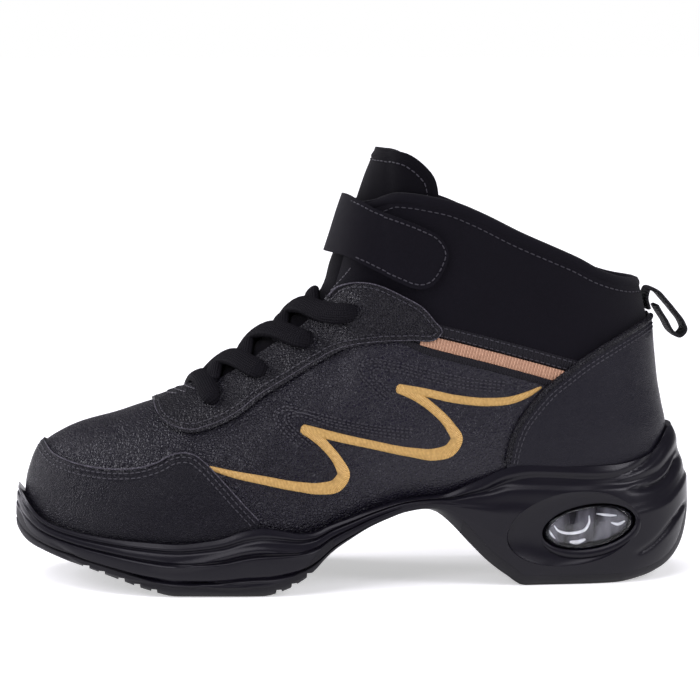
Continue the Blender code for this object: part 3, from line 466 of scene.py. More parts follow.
def front_height(x):
    """Height of the last's front line, which keeps rising behind the ankle's front."""
    beyond = np.maximum(0.0, np.asarray(x) - FRONT_X[-1])
    rise_past_top = 6.0
    return np.interp(x, FRONT_X, FRONT_Z) + rise_past_top * beyond


def back_place(z):
    """Place of the last's back line at a height."""
    return x_at(table_value(np.asarray(z) / TONGUE_HEIGHT, BACK_LINE))


def centre_line(x):
    """Sideways place of the shoe's middle, which bends inwards at the toe."""
    return BALL_WIDTH * table_value(share_at(x), LAST_PLAN)


def plan_half_width(x):
    """Half-width of the last before its ends are rounded."""
    from_ball = BALL_WIDTH * table_value(share_at(x), LAST_PLAN, 2)
    heel_start = 0.45
    heel_full = 0.80
    blend = smooth_step((share_at(x) - heel_start) / (heel_full - heel_start))
    heel_scale = (HEEL_WIDTH / 2) / (LAST_PLAN[-2][2] * BALL_WIDTH)
    return from_ball * (1 + (heel_scale - 1) * blend)


def round_end(distance, radius, power):
    """Share of the width that is left at a distance from a rounded end."""
    inside = np.clip(1 - np.asarray(distance) / radius, 0.0, 1.0)
    return np.maximum(0.0, 1 - inside ** power) ** (1 / power)


def last_half_width(x, z):
    """Half-width of the last at a place along the shoe and a height."""
    floor = footbed_height(x)
    rise = np.maximum(0.0, z - floor)
    share = np.clip(rise / np.maximum(front_height(x) - floor, 1e-6), 0.0, 1.0)
    roundness = table_value(share_at(x), SECTION_ROUNDNESS)
    arch = np.maximum(0.0, 1 - share ** roundness) ** (1 / roundness)
    ankle_start = 0.40
    ankle_full = 0.70
    ankle = np.clip((rise / TONGUE_HEIGHT - ankle_start) / (ankle_full - ankle_start), 0.0, 1.0)
    ankle_scale = ANKLE_WIDTH / (HEEL_WIDTH * WIDTH_BY_RISE[-2][1])
    taper = table_value(rise / TONGUE_HEIGHT, WIDTH_BY_RISE) * (1 + (ankle_scale - 1) * ankle)
    toe = round_end(x - FRONT_X[0] + 0.0004, 0.060, 2.15)
    heel = round_end(back_place(z) - x, 0.042, 2.1)
    return plan_half_width(x) * taper * arch * toe * heel


def sole_ends(x, front, back):
    """Share of the sole's width that its rounded toe and heel leave."""
    return round_end(x - front, 0.062, 2.2) * round_end(back - x, 0.044, 2.15)


def sole_half_width(x):
    """Half-width of the sole's side."""
    return (plan_half_width(x) + SOLE_FLARE) * sole_ends(x, x_at(0.0), x_at(1.0))


def outsole_top(x, lift):
    """Top of the outsole layer, as thick on the slopes as on the flats."""
    step = 0.002
    steepest = 1.9
    slope = (underside_height(x + step) - underside_height(x - step)) / (2 * step)
    slope = np.clip(slope, -steepest, steepest)
    return underside_height(x) + (OUTSOLE_THICKNESS + lift) * np.sqrt(1 + slope ** 2)


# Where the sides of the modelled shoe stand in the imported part's frame
window_low, window_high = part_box("air_window")
loop_low, loop_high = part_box("pull_loop")
SHIFT = Vector((
    (window_low.x + window_high.x) / 2 - x_at(WINDOW_PLACE[0]),
    (loop_low.y + loop_high.y) / 2 - float(centre_line(x_at(0.95))),
    0.0,
))


def seen_ray(across, down):
    """Start and direction of the sight line through a place in the picture."""
    forward = -CAMERA_BACK
    right = Vector((math.cos(CAMERA_TURN), math.sin(CAMERA_TURN), 0.0))
    up = right.cross(forward)
    middle = IMAGE_SIDE / 2
    aim = forward + right * ((across - middle) / FOCAL_PIXELS) + up * ((middle - down) / FOCAL_PIXELS)
    return CAMERA_TARGET + CAMERA_BACK * CAMERA_DISTANCE - SHIFT, aim


def seen_place(across, down, on_sole=False):
    """Place along the shoe and height of what the picture shows there, on the outer side."""
    start, aim = seen_ray(across, down)
    y = -0.030
    for _ in range(6):
        reach = (y - start.y) / aim.y
        x = start.x + aim.x * reach
        z = start.z + aim.z * reach
        if on_sole:
            half = float(sole_half_width(np.clip(x, x_at(0.0), x_at(1.0))))
        else:
            half = float(last_half_width(x, z))
        y = float(centre_line(x)) - half
    return x, z


def seen_line(points, on_sole=False):
    """Side view line through places in the picture."""
    return [seen_place(point[0], point[1], on_sole) for point in points]


def softness(x, z):
    """Height of the soft troughs and swellings at places seen from the side."""
    total = np.zeros(np.shape(x))
    for share, height, reach_x, reach_z, lift in SOFT_SPOTS:
        along = (x - x_at(share)) / reach_x
        upward = (z - height * TONGUE_HEIGHT) / reach_z
        total = total + lift * np.exp(-(along ** 2) - upward ** 2)
    return total


def ring_turns(points):
    """Shares towards the toe, and sides, of the points of a ring that starts at the heel."""
    turn = np.linspace(0.0, 2 * math.pi, points, endpoint=False)
    return (1 - np.cos(turn)) / 2, np.where(turn <= math.pi, -1.0, 1.0)


def ring_at(x, half, z, forward, side):
    """Points of a ring whose two sides meet at the heel and at the toe."""
    half[np.isclose(forward, 0.0) | np.isclose(forward, 1.0)] = 0.0
    return np.column_stack((x, centre_line(x) + side * half, z))


def form_grid(offset):
    """Rings of points round the last from the footbed up, moved outwards by offset."""
    forward, side = ring_turns(RING_POINTS)
    rings = []
    top_of_back = 0.93 * TONGUE_HEIGHT
    lowest_back = float(footbed_height(back_place(0.0)))
    for level in range(RING_LEVELS):
        share = level / (RING_LEVELS - 1)
        along = FRONT_ALONG[-1] * share
        front_x = float(np.interp(along, FRONT_ALONG, FRONT_X))
        front_z = float(np.interp(along, FRONT_ALONG, FRONT_Z))
        back_z = lowest_back + (top_of_back - lowest_back) * share ** 1.15
        back_x = float(back_place(back_z))
        x = back_x + (front_x - back_x) * forward
        bed_back = footbed_height(back_x)
        sag = footbed_height(x) - (bed_back + (footbed_height(front_x) - bed_back) * forward)
        hold = max(0.0, 1 - share / 0.45) ** 1.5
        z = back_z + (front_z - back_z) * forward + sag * hold
        rings.append(ring_at(x, last_half_width(x, z), z, forward, side))
    grid = np.array(rings)
    around = np.roll(grid, -1, axis=1) - np.roll(grid, 1, axis=1)
    normals = np.cross(np.gradient(grid, axis=0), around)
    normals[0, :, 2] = 0.0
    normals[-1, :, 2] = 0.0
    lift = offset + softness(grid[:, :, 0], grid[:, :, 2])
    return grid + unit(normals) * lift[:, :, None]


def surface_points(x, z, side, offset):
    """Points over the last at side view places, and the directions outwards."""
    x = np.asarray(x, float)
    z = np.asarray(z, float)
    step = 0.0003
    slope_x = (last_half_width(x + step, z) - last_half_width(x - step, z)) / (2 * step)
    slope_z = (last_half_width(x, z + step) - last_half_width(x, z - step)) / (2 * step)
    bend = (centre_line(x + step) - centre_line(x - step)) / (2 * step)
    outward = unit(np.column_stack((-side * bend - slope_x, np.full(len(x), float(side)), -slope_z)))
    base = np.column_stack((x, centre_line(x) + side * last_half_width(x, z), z))
    lift = offset + softness(x, z)
    return base + outward * np.reshape(lift, (-1, 1)), outward


def mesh_object(name, points, faces, uvs=None):
    """New object from points in the modelling frame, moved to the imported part's frame."""
    mesh = bpy.data.meshes.new(name)
    moved = np.asarray(points, float) + np.array(SHIFT)
    mesh.from_pydata(moved.tolist(), [], faces)
    if uvs is not None:
        layer = mesh.uv_layers.new(name="UVMap")
        corners = np.zeros(len(mesh.loops), np.int32)
        mesh.loops.foreach_get("vertex_index", corners)
        layer.data.foreach_set("uv", np.asarray(uvs, np.float32)[corners].ravel())
    mesh.validate()
    obj = bpy.data.objects.new(name, mesh)
    bpy.context.scene.collection.objects.link(obj)
    return obj


def turn_faces_out(obj, triangles=True):
    """Make every face of a closed body point outwards."""
    work = bmesh.new()
    work.from_mesh(obj.data)
    if triangles:
        bmesh.ops.triangulate(work, faces=[face for face in work.faces if len(face.verts) > 4])
    bmesh.ops.recalc_face_normals(work, faces=work.faces)
    if work.calc_volume(signed=True) < 0:
        bmesh.ops.reverse_faces(work, faces=work.faces)
    work.to_mesh(obj.data)
    work.free()


def ladder(first, count):
    """Faces that close a ring whose first and middle points are its two ends."""
    faces = []
    for step in range(count // 2):
        corners = []
        for corner in (step, step + 1, count - step - 1, (count - step) % count):
            if first + corner not in corners:
                corners.append(first + corner)
        faces.append(tuple(corners))
    return faces


def ring_faces(levels, around, first=0):
    """Faces of the sides of a stack of rings."""
    faces = []
    for level in range(levels - 1):
        for step in range(around):
            after = (step + 1) % around
            low = first + level * around
            high = low + around
            faces.append((low + step, low + after, high + after, high + step))
    return faces


def closed_ring_faces(levels, around, first=0):
    """Faces of the sides and of the two ends of a stack of rings."""
    last = first + (levels - 1) * around
    ends = [tuple(range(first + around - 1, first - 1, -1)), tuple(range(last, last + around))]
    return ring_faces(levels, around, first) + ends


def reversed_faces(faces):
    """The same faces, turned over."""
    return [tuple(reversed(face)) for face in faces]


def ring_solid(name, grid):
    """Closed body from a stack of rings, bottom ring first."""
    levels, around = grid.shape[:2]
    faces = ring_faces(levels, around) + reversed_faces(ladder(0, around))
    obj = mesh_object(name, grid.reshape(-1, 3), faces + ladder((levels - 1) * around, around))
    turn_faces_out(obj)
    return obj


def shell_solid(name, inner, outer):
    """Closed shell between two offsets of the last, open at the bottom and the top."""
    inside = form_grid(inner)
    outside = form_grid(outer)
    levels, around = inside.shape[:2]
    count = levels * around
    faces = ring_faces(levels, around) + reversed_faces(ring_faces(levels, around, count))
    for low in (0, (levels - 1) * around):
        for step in range(around):
            after = (step + 1) % around
            faces.append((low + step, low + after, count + low + after, count + low + step))
    obj = mesh_object(name, np.concatenate((outside.reshape(-1, 3), inside.reshape(-1, 3))), faces)
    turn_faces_out(obj)
    return obj


def prism(name, outline, low, high, upright=False):
    """Closed body with an outline in the side view, or in the plan where it is upright."""
    count = len(outline)
    points = [(u, v, level) if upright else (u, level, v) for level in (low, high) for u, v in outline]
    faces = [tuple(range(count)), tuple(range(2 * count - 1, count - 1, -1))]
    for step in range(count):
        after = (step + 1) % count
        faces.append((step, step + count, after + count, after))
    obj = mesh_object(name, points, faces)
    turn_faces_out(obj, triangles=False)
    return obj


def combine(obj, cutter, operation):
    """Boolean of two bodies, kept in the first. The second one goes."""
    modifier = obj.modifiers.new("cut", "BOOLEAN")
    modifier.operation = operation
    modifier.object = cutter
    modifier.solver = "EXACT"
    graph = bpy.context.evaluated_depsgraph_get()
    mesh = bpy.data.meshes.new_from_object(obj.evaluated_get(graph))
    obj.modifiers.clear()
    obj.data = mesh
    bpy.data.objects.remove(cutter)
    work = bmesh.new()
    work.from_mesh(obj.data)
    bmesh.ops.remove_doubles(work, verts=work.verts, dist=WELD)
    bmesh.ops.dissolve_degenerate(work, edges=work.edges, dist=WELD)
    work.to_mesh(obj.data)
    work.free()


def keep_inside(obj, outline):
    """Cut a body down to a side view outline."""
    combine(obj, prism("region", outline, -REACH, REACH), "INTERSECT")


def smooth_line(points, steps=6, closed=False):
    """Finer line through points, without corners."""
    points = np.asarray(points, float)
    if closed:
        padded = np.concatenate((points[-1:], points, points[:2]))
    else:
        padded = np.concatenate((2 * points[:1] - points[1:2], points, 2 * points[-1:] - points[-2:-1]))
    gaps = np.maximum(np.linalg.norm(np.diff(padded[:, :2], axis=0), axis=1), 1e-7)
    slopes = np.diff(padded, axis=0) / gaps[:, None]
    made = []
    for span in range(len(padded) - 3):
        start, end = padded[span + 1:span + 3]
        before, gap, after = gaps[span:span + 3]
        leave = (slopes[span + 1] * before + slopes[span] * gap) / (before + gap) * gap
        arrive = (slopes[span + 2] * gap + slopes[span + 1] * after) / (gap + after) * gap
        for step in range(steps):
            t = step / steps
            onward = 3 * t ** 2 - 2 * t ** 3
            bends = (t ** 3 - 2 * t ** 2 + t) * leave + (t ** 3 - t ** 2) * arrive
            made.append((1 - onward) * start + onward * end + bends)
    if not closed:
        made.append(points[-1])
    return np.array(made)


def inset(line, distance):
    """Side view line moved to its left by a distance."""
    line = np.asarray(line, float)
    along = unit(np.gradient(line, axis=0))
    return line + np.column_stack((-along[:, 1], along[:, 0])) * distance


def evenly(points, gap, outward):
    """Points at even gaps along a path, the directions along it, and the directions outwards there."""
    keep = np.concatenate(((True,), np.linalg.norm(np.diff(points, axis=0), axis=1) > 1e-9))
    points = points[keep]
    places = lengths_along(points)
    count = max(2, int(places[-1] / gap))
    at = (np.arange(count) + 0.5) * places[-1] / count
    near = 0.0003
    along = sampled(at + near, places, points) - sampled(at - near, places, points)
    return sampled(at, places, points), unit(along), unit(sampled(at, places, outward[keep]))


def line_on_form(line, side, offset, gap=0.0005):
    """Dense points over the last along a side view line, where it is there, and directions outwards."""
    line = np.asarray(line, float)
    places = lengths_along(line)
    at = np.linspace(0.0, places[-1], max(8, int(places[-1] / gap)))
    x, z = sampled(at, places, line).T
    there = last_half_width(x, z) > 0.0012
    return surface_points(x[there], z[there], side, offset)


# Stitches
STITCH_RING = [(math.cos(turn), math.sin(turn)) for turn in np.linspace(0, 2 * math.pi, 6, endpoint=False)]
STITCH_STATIONS = ((-0.5, 0.30), (-0.34, 0.95), (0.34, 0.95), (0.5, 0.30))


def stitches_along(path, outward, taken, pitch=0.0023, length=0.0017, thick=0.00028):
    """Points and faces of a row of stitches on a path, numbered on from the points already taken."""
    spots, along, normals = evenly(path, pitch, outward)
    made = []
    faces = []
    for spot, forward, normal, sideways in zip(spots, along, normals, np.cross(normals, along)):
        faces += closed_ring_faces(len(STITCH_STATIONS), len(STITCH_RING), taken + len(made))
        for place, size in STITCH_STATIONS:
            middle = spot + forward * (place * length) + normal * (thick * (0.35 - 1.1 * place ** 2))
            for u, v in STITCH_RING:
                made.append(middle + sideways * (u * thick * size) + normal * (v * thick * size * 0.85))
    return made, faces


def sew(name, slot, rows, **sizes):
    """One piece of several rows of stitches."""
    points = []
    faces = []
    for spots, outward in rows:
        if len(spots) >= 4:
            made, made_faces = stitches_along(spots, outward, len(points), **sizes)
            points += made
            faces += made_faces
    obj = mesh_object(name, points, faces)
    turn_faces_out(obj, triangles=False)
    dress(obj, SEWING)


def relief_strips(name, strokes, profile, material, nodes=(), sides=SIDES):
    """Closed raised strips over the last. A stroke has a side view line, half-widths and a base offset."""
    points = []
    faces = []
    uvs = []
    ring = list(profile) + [(1.0, -0.0003), (-1.0, -0.0003)]
    for line, widths, base in strokes:
        half_widths = np.broadcast_to(widths, (len(line),))
        full_height = np.minimum(1.0, half_widths / 0.0011)
        for side in sides:
            faces += closed_ring_faces(len(line), len(ring), len(points))
            columns = []
            for across, lift in ring:
                at = inset(line, half_widths[:, None] * across)
                columns.append(surface_points(at[:, 0], at[:, 1], side, base + lift * full_height)[0])
            points += np.stack(columns, axis=1).reshape(-1, 3).tolist()
            for along, half in zip(lengths_along(line), half_widths):
                uvs += [(along, across * half) for across, _ in ring]
    obj = mesh_object(name, points, faces, uvs)
    turn_faces_out(obj)
    dress(obj, material, nodes, flat=60)


def tube(name, path, normals, width, height, around=10, square=1.0):
    """Closed tube with an oval section along a path, its height along the normals."""
    path = np.asarray(path, float)
    along = unit(np.gradient(path, axis=0))
    across = unit(np.cross(along, np.asarray(normals, float)))
    up = np.cross(across, along)
    turn = 2 * math.pi * np.arange(around) / around
    u = np.copysign(np.abs(np.cos(turn)) ** square, np.cos(turn))
    v = np.copysign(np.abs(np.sin(turn)) ** square, np.sin(turn))
    sideways = np.broadcast_to(width, (len(path),))[:, None] * u / 2
    upward = np.broadcast_to(height, (len(path),))[:, None] * v / 2
    rings = path[:, None] + across[:, None] * sideways[:, :, None] + up[:, None] * upward[:, :, None]
    lengths = np.repeat(lengths_along(path), around)
    uvs = np.column_stack((lengths, sideways.ravel()))
    obj = mesh_object(name, rings.reshape(-1, 3), closed_ring_faces(len(path), around), uvs)
    turn_faces_out(obj)
    return obj


def throat_slot(widen=0.0):
    """Upright body of the throat opening: a slot with a round end at the toe side."""
    half = THROAT_HALF_WIDTH + widen
    outline = []
    for step in range(25):
        turn = math.pi / 2 + math.pi * step / 24
        x = x_at(THROAT_START) + half + half * math.cos(turn)
        outline.append((x, half * math.sin(turn) + float(centre_line(x))))
    edge = [x_at(share) for share in np.linspace(0.34, THROAT_END, 12)]
    outline += [(x, float(centre_line(x)) - half) for x in edge]
    outline += [(x, float(centre_line(x)) + half) for x in reversed(edge)]
    return prism("throat", outline, 0.30 * TONGUE_HEIGHT, 1.30 * TONGUE_HEIGHT, upright=True)


# Shader nodes
def feed(tree, node, inputs):
    """Set a node's inputs to plain values, or link them to sockets."""
    for key, value in inputs.items():
        if isinstance(value, bpy.types.NodeSocket):
            tree.links.new(value, node.inputs[key])
        else:
            node.inputs[key].default_value = value


def add_node(tree, kind, inputs, **settings):
    """New shader node with its settings and inputs."""
    node = tree.nodes.new("ShaderNode" + kind)
    for name, value in settings.items():
        setattr(node, name, value)
    feed(tree, node, inputs)
    return node


def new_group(name, inputs, outputs):
    """Empty node group with named inputs and outputs."""
    tree = bpy.data.node_groups.new(name, "ShaderNodeTree")
    for label, value in inputs.items():
        socket = tree.interface.new_socket(label, in_out="INPUT", socket_type="NodeSocketFloat")
        socket.default_value = value
    for label in outputs:
        tree.interface.new_socket(label, in_out="OUTPUT", socket_type="NodeSocketFloat")
    return tree, tree.nodes.new("NodeGroupInput").outputs, tree.nodes.new("NodeGroupOutput")


def put_group(tree, group, *values):
    """Place a group in a material with its own values. Gives its outputs."""
    return add_node(tree, "Group", dict(enumerate(values)), node_tree=group).outputs


def coordinates(tree, kind="Object"):
    """Texture coordinates on the piece."""
    return tree.nodes.new("ShaderNodeTexCoord").outputs[kind]


def math_node(tree, operation, *values):
    """Math node fed by sockets or numbers. Gives its output."""
    return add_node(tree, "Math", dict(enumerate(values)), operation=operation).outputs[0]


def plus(tree, first, second):
    """Sum of two values."""
    return math_node(tree, "ADD", first, second)


def times(tree, first, second):
    """Product of two values."""
    return math_node(tree, "MULTIPLY", first, second)


def noise_node(tree, vector, scale, detail=3.0):
    """Noise texture. Gives its factor."""
    return add_node(tree, "TexNoise", {"Vector": vector, "Scale": scale, "Detail": detail}).outputs[0]


def map_range(tree, value, limits, **settings):
    """Value spread between limits. Gives the output."""
    return add_node(tree, "MapRange", {"Value": value, **limits}, **settings).outputs[0]


def axes(tree, vector):
    """The three parts of a vector."""
    return add_node(tree, "SeparateXYZ", {0: vector}).outputs


def stretched(tree, vector, scale):
    """Coordinates with a scale of their own along each axis."""
    return add_node(tree, "Mapping", {"Vector": vector, "Scale": scale}).outputs[0]


def blend_colours(tree, factor, first, second):
    """Mix of two colours by a mask. Gives the colour output."""
    inputs = {"Factor": factor}
    for key, value in (("A", first), ("B", second)):
        inputs[key] = (*value, 1.0) if isinstance(value, tuple) else value
    node = add_node(tree, "Mix", inputs, data_type="RGBA")
    return [output for output in node.outputs if output.type == "RGBA"][0]


def leather_grain_group():
    """Pebbled grain: rounded pebbles with valleys between them, and their wrinkles."""
    tree, given, end = new_group("leather grain", {"Pebbles per metre": 800.0}, ("Height", "Valleys"))
    place = coordinates(tree)
    warp = add_node(tree, "TexNoise", {"Vector": place, "Scale": 260.0, "Detail": 2.0}).outputs["Color"]
    drift = {0: warp, 1: (0.0016, 0.0016, 0.0016), 2: place}
    moved = add_node(tree, "VectorMath", drift, operation="MULTIPLY_ADD").outputs[0]
    cells = add_node(tree, "TexVoronoi", {"Vector": moved, "Scale": given[0]}, feature="DISTANCE_TO_EDGE")
    distance = cells.outputs["Distance"]
    pebble = map_range(tree, distance, {"From Max": 0.28}, interpolation_type="SMOOTHERSTEP")
    fine = noise_node(tree, place, times(tree, given[0], 2.6), 2.0)
    wrinkles = times(tree, noise_node(tree, place, 300.0, 4.0), 1.6)
    height = plus(tree, plus(tree, pebble, times(tree, fine, 0.35)), wrinkles)
    feed(tree, end, {0: height, 1: math_node(tree, "SUBTRACT", 1.0, pebble)})
    return tree


def cloth_group():
    """Close knit of matt fabric: fine diagonal ribs with loose fibres."""
    tree, given, end = new_group("close knit", {"Ribs per metre": 1500.0}, ("Height", "Tint"))
    place = coordinates(tree)
    x, y, z = axes(tree, place)
    turns = times(tree, given[0], 2 * math.pi)
    falling = math_node(tree, "SUBTRACT", math_node(tree, "SUBTRACT", x, y), z)
    first = math_node(tree, "SINE", times(tree, plus(tree, plus(tree, x, y), z), turns))
    second = math_node(tree, "SINE", times(tree, falling, turns))
    woven_ribs = times(tree, times(tree, first, second), 0.3)
    height = plus(tree, woven_ribs, noise_node(tree, place, 2600.0, 2.0))
    feed(tree, end, {0: height, 1: noise_node(tree, place, 55.0, 4.0)})
    return tree


def handling_group():
    """Faint scuffs and dust: a mask of soft patches, and long fine rubs."""
    tree, given, end = new_group("handling marks", {"Amount": 0.5}, ("Dust", "Rubs"))
    place = coordinates(tree)
    patches = noise_node(tree, place, 38.0, 6.0)
    dust = map_range(tree, patches, {"From Min": 0.48, "From Max": 0.78})
    lines = noise_node(tree, stretched(tree, place, (0.3, 1.0, 2.6)), 420.0, 5.0)
    rubs = map_range(tree, lines, {"From Min": 0.60, "From Max": 0.80})
    feed(tree, end, {0: times(tree, dust, given[0]), 1: times(tree, rubs, given[0])})
    return tree


def thread_group():
    """Threads laid across a strip's own length, or a weave of both ways."""
    counts = {"Threads per metre": 2000.0, "Cross threads per metre": 0.0}
    tree, given, end = new_group("laid threads", counts, ("Height", "Tint"))
    place = coordinates(tree, "UV")
    parts = axes(tree, place)
    along = times(tree, times(tree, parts[0], given[0]), 2 * math.pi)
    across = times(tree, times(tree, parts[1], given[1]), 2 * math.pi)
    height = plus(tree, math_node(tree, "SINE", along), math_node(tree, "COSINE", across))
    tint = plus(tree, times(tree, height, 0.25), noise_node(tree, place, 900.0, 3.0))
    feed(tree, end, {0: height, 1: tint})
    return tree


GRAIN = leather_grain_group()
KNIT = cloth_group()
HANDLING = handling_group()
THREADS = thread_group()


# Materials
def new_material(name, specular, sheen=0.0):
    """New material. Gives it, its tree and its shader."""
    material = bpy.data.materials.new(name)
    material.use_nodes = True
    shader = material.node_tree.nodes["Principled BSDF"]
    looks = {"Specular IOR Level": specular, "Sheen Weight": sheen, "Sheen Roughness": 0.5}
    feed(material.node_tree, shader, looks)
    return material, material.node_tree, shader


def finish_surface(tree, shader, colour, mask, low, high, height=None, depth=0.0):
    """Colour, a roughness between two values by a mask, and a bump whose depth is in metres."""
    roughness = map_range(tree, mask, {"To Min": low, "To Max": high})
    feed(tree, shader, {"Base Color": colour, "Roughness": roughness})
    if height is not None:
        bump = add_node(tree, "Bump", {"Distance": depth, "Strength": 1.0, "Height": height})
        feed(tree, shader, {"Normal": bump.outputs[0]})


def fading(tree, start, end, least):
    """Mask along the shoe: one before the start, least from the end on, in metres."""
    limits = {"From Min": start, "From Max": end, "To Min": 1.0, "To Max": least}
    return map_range(tree, axes(tree, coordinates(tree))[0], limits, interpolation_type="SMOOTHSTEP")


def leather(name, colour, valley, pebbles, depth, low, high, specular, fade=None):
    """Leather with a grain of its own fineness and depth, which may fade along the shoe."""
    material, tree, shader = new_material(name, specular)
    grain = put_group(tree, GRAIN, pebbles)
    marks = put_group(tree, HANDLING, LEATHER_DUST)
    base = blend_colours(tree, grain["Valleys"], colour, valley)
    dusty = blend_colours(tree, marks["Dust"], base, DUST_COLOUR)
    height = grain["Height"]
    if fade is not None:
        height = times(tree, height, fading(tree, *fade))
    finish_surface(tree, shader, dusty, grain["Valleys"], low, high, height, depth)
    return material


def woven(name, group, fineness, colour, tint, depth, low, high, specular, sheen=0.0):
    """Knitted cloth, or threads that follow a strip, by the group that is given."""
    material, tree, shader = new_material(name, specular, sheen)
    weave = put_group(tree, group, *fineness)
    base = blend_colours(tree, weave["Tint"], colour, tint)
    finish_surface(tree, shader, base, weave["Tint"], low, high, weave["Height"], depth)
    return material


def rubber(name, colour, tint, low, high, depth, specular, dust):
    """Moulded rubber, satin, with faint rubs and dust."""
    material, tree, shader = new_material(name, specular)
    marks = put_group(tree, HANDLING, dust)
    fine = noise_node(tree, coordinates(tree), 1900.0, 3.0)
    base = blend_colours(tree, marks["Dust"], colour, tint)
    mask = plus(tree, times(tree, fine, 0.5), marks["Rubs"])
    finish_surface(tree, shader, base, mask, low, high, fine, depth)
    return material


def mottled(name, fineness, colour, tint, low, high, specular, depth=None):
    """Plain stuff with a fine mottle, such as sewing thread."""
    material, tree, shader = new_material(name, specular)
    mottle = noise_node(tree, coordinates(tree), *fineness)
    height = None if depth is None else mottle
    finish_surface(tree, shader, blend_colours(tree, mottle, colour, tint), mottle, low, high, height, depth)
    return material


def clear_material():
    """Clear glossy capsule, with faint moulding ripples."""
    material, tree, shader = new_material("clear capsule", 0.3)
    feed(tree, shader, {"Transmission Weight": 1.0, "IOR": 1.33})
    ripple = noise_node(tree, coordinates(tree), 120.0, 2.0)
    finish_surface(tree, shader, (0.93, 0.95, 0.96, 1.0), ripple, 0.02, 0.10, ripple, 0.0006)
    return material


def cushion_material():
    """Smoky air chamber inside the capsule, bumped up and down, with painted lighter streaks that stand for
    refractions.
    """
    material, tree, shader = new_material("air chamber", 0.4)
    refraction_streaks = noise_node(tree, stretched(tree, coordinates(tree), (1.0, 0.2, 0.28)), 260.0, 3.0)
    sharper = map_range(tree, refraction_streaks, {"From Min": 0.36, "From Max": 0.66})
    # Painted reflections: the lighter streaks stand for light refracted through the clear capsule
    base = blend_colours(tree, sharper, (0.010, 0.009, 0.013), (0.105, 0.101, 0.118))
    finish_surface(tree, shader, base, refraction_streaks, 0.10, 0.30, refraction_streaks, 0.0012)
    return material


LEATHER_DUST = 0.03
DUST_COLOUR = (0.040, 0.037, 0.046)
VAMP_LEATHER = leather(
    "vamp leather", (0.0072, 0.0060, 0.0124), (0.0044, 0.0037, 0.0078), 840.0, 0.00058,
    0.24, 0.36, 0.27, fade=(-0.050, 0.020, 0.16),
)
TRIM_LEATHER = leather(
    "trim leather", (0.0054, 0.0047, 0.0086), (0.0034, 0.0029, 0.0054), 880.0, 0.00062, 0.24, 0.38, 0.24
)
GUARD_LEATHER = leather(
    "toe guard leather", (0.0034, 0.0029, 0.0058), (0.0046, 0.0040, 0.0074), 1150.0, 0.00022,
    0.30, 0.42, 0.15,
)
COUNTER_LEATHER = leather(
    "counter leather", (0.0062, 0.0056, 0.0102), (0.0055, 0.0050, 0.0088), 1300.0, 0.00008, 0.32, 0.42, 0.16
)
# Painted highlight: the light colour of the thin strips along the panels' edges, where the edge catches the
# light
EDGE_HIGHLIGHT = leather(
    "painted edge highlight", (0.085, 0.079, 0.098), (0.030, 0.027, 0.036), 900.0, 0.00010, 0.40, 0.60, 0.30
)
COLLAR_CLOTH = woven(
    "collar cloth", KNIT, (1500.0,), (0.0026, 0.0022, 0.0039), (0.0048, 0.0042, 0.0068),
    0.00008, 0.78, 0.94, 0.06, 0.05,
)
TONGUE_CLOTH = woven(
    "tongue cloth", KNIT, (1500.0,), (0.0015, 0.0013, 0.0023), (0.0030, 0.0026, 0.0042),
    0.00008, 0.78, 0.94, 0.045, 0.05,
)
LINING_CLOTH = woven(
    "lining cloth", KNIT, (1100.0,), (0.0085, 0.0082, 0.0095), (0.0150, 0.0145, 0.0160),
    0.00014, 0.82, 0.98, 0.25, 0.05,
)
INSOLE_CLOTH = woven(
    "insole cloth", KNIT, (900.0,), (0.030, 0.030, 0.032), (0.050, 0.049, 0.050),
    0.00018, 0.82, 0.98, 0.25, 0.05,
)
LACE_CORD = woven(
    "lace weave", THREADS, (1100.0, 1100.0), (0.0022, 0.0019, 0.0032), (0.0052, 0.0047, 0.0068),
    0.00012, 0.66, 0.82, 0.08,
)
WEBBING = woven(
    "webbing weave", THREADS, (900.0, 700.0), (0.0034, 0.0031, 0.0044), (0.0100, 0.0094, 0.0115),
    0.00018, 0.60, 0.78, 0.20,
)
BINDING = woven(
    "binding weave", THREADS, (950.0, 0.0), (0.0024, 0.0021, 0.0036), (0.0105, 0.0096, 0.0135),
    0.00030, 0.50, 0.70, 0.18,
)
RIBBON = woven(
    "ribbed ribbon", THREADS, (850.0, 0.0), (0.68, 0.41, 0.27), (0.36, 0.19, 0.12), 0.00030, 0.58, 0.78, 0.25
)
GOLD_THREAD = woven(
    "gold thread", THREADS, (1900.0, 0.0), (0.95, 0.63, 0.23), (0.46, 0.26, 0.070), 0.00016, 0.36, 0.58, 0.45
)
MIDSOLE_RUBBER = rubber(
    "midsole rubber", (0.0050, 0.0044, 0.0074), (0.0095, 0.0088, 0.0125), 0.26, 0.40, 0.00003, 0.19, 0.20
)
TREAD_RUBBER = rubber(
    "tread rubber", (0.0062, 0.0057, 0.0078), (0.016, 0.015, 0.018), 0.55, 0.72, 0.00008, 0.20, 0.45
)
SEWING = mottled(
    "sewing thread", (2400.0, 2.0), (0.003, 0.0027, 0.005), (0.032, 0.029, 0.041), 0.36, 0.60, 0.5, 0.00006
)
# Painted highlight: the near-white seams stand for the bright glints inside the window
SEAM_HIGHLIGHT = mottled("chamber seam highlight", (420.0, 3.0), (0.35, 0.35, 0.38), (0.95, 0.95, 0.97), 0.08, 0.25, 0.7)
CLEAR = clear_material()
CUSHION = cushion_material()


def dress(obj, material, nodes=(), flat=35):
    """Give a piece its finish and its place in the part."""
    obj.data.materials.clear()
    obj.data.materials.append(material)
    obj.data.shade_smooth()
    obj.data.set_sharp_from_angle(angle=math.radians(flat))
    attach(obj, "root")
    if nodes:
        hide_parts(*nodes)


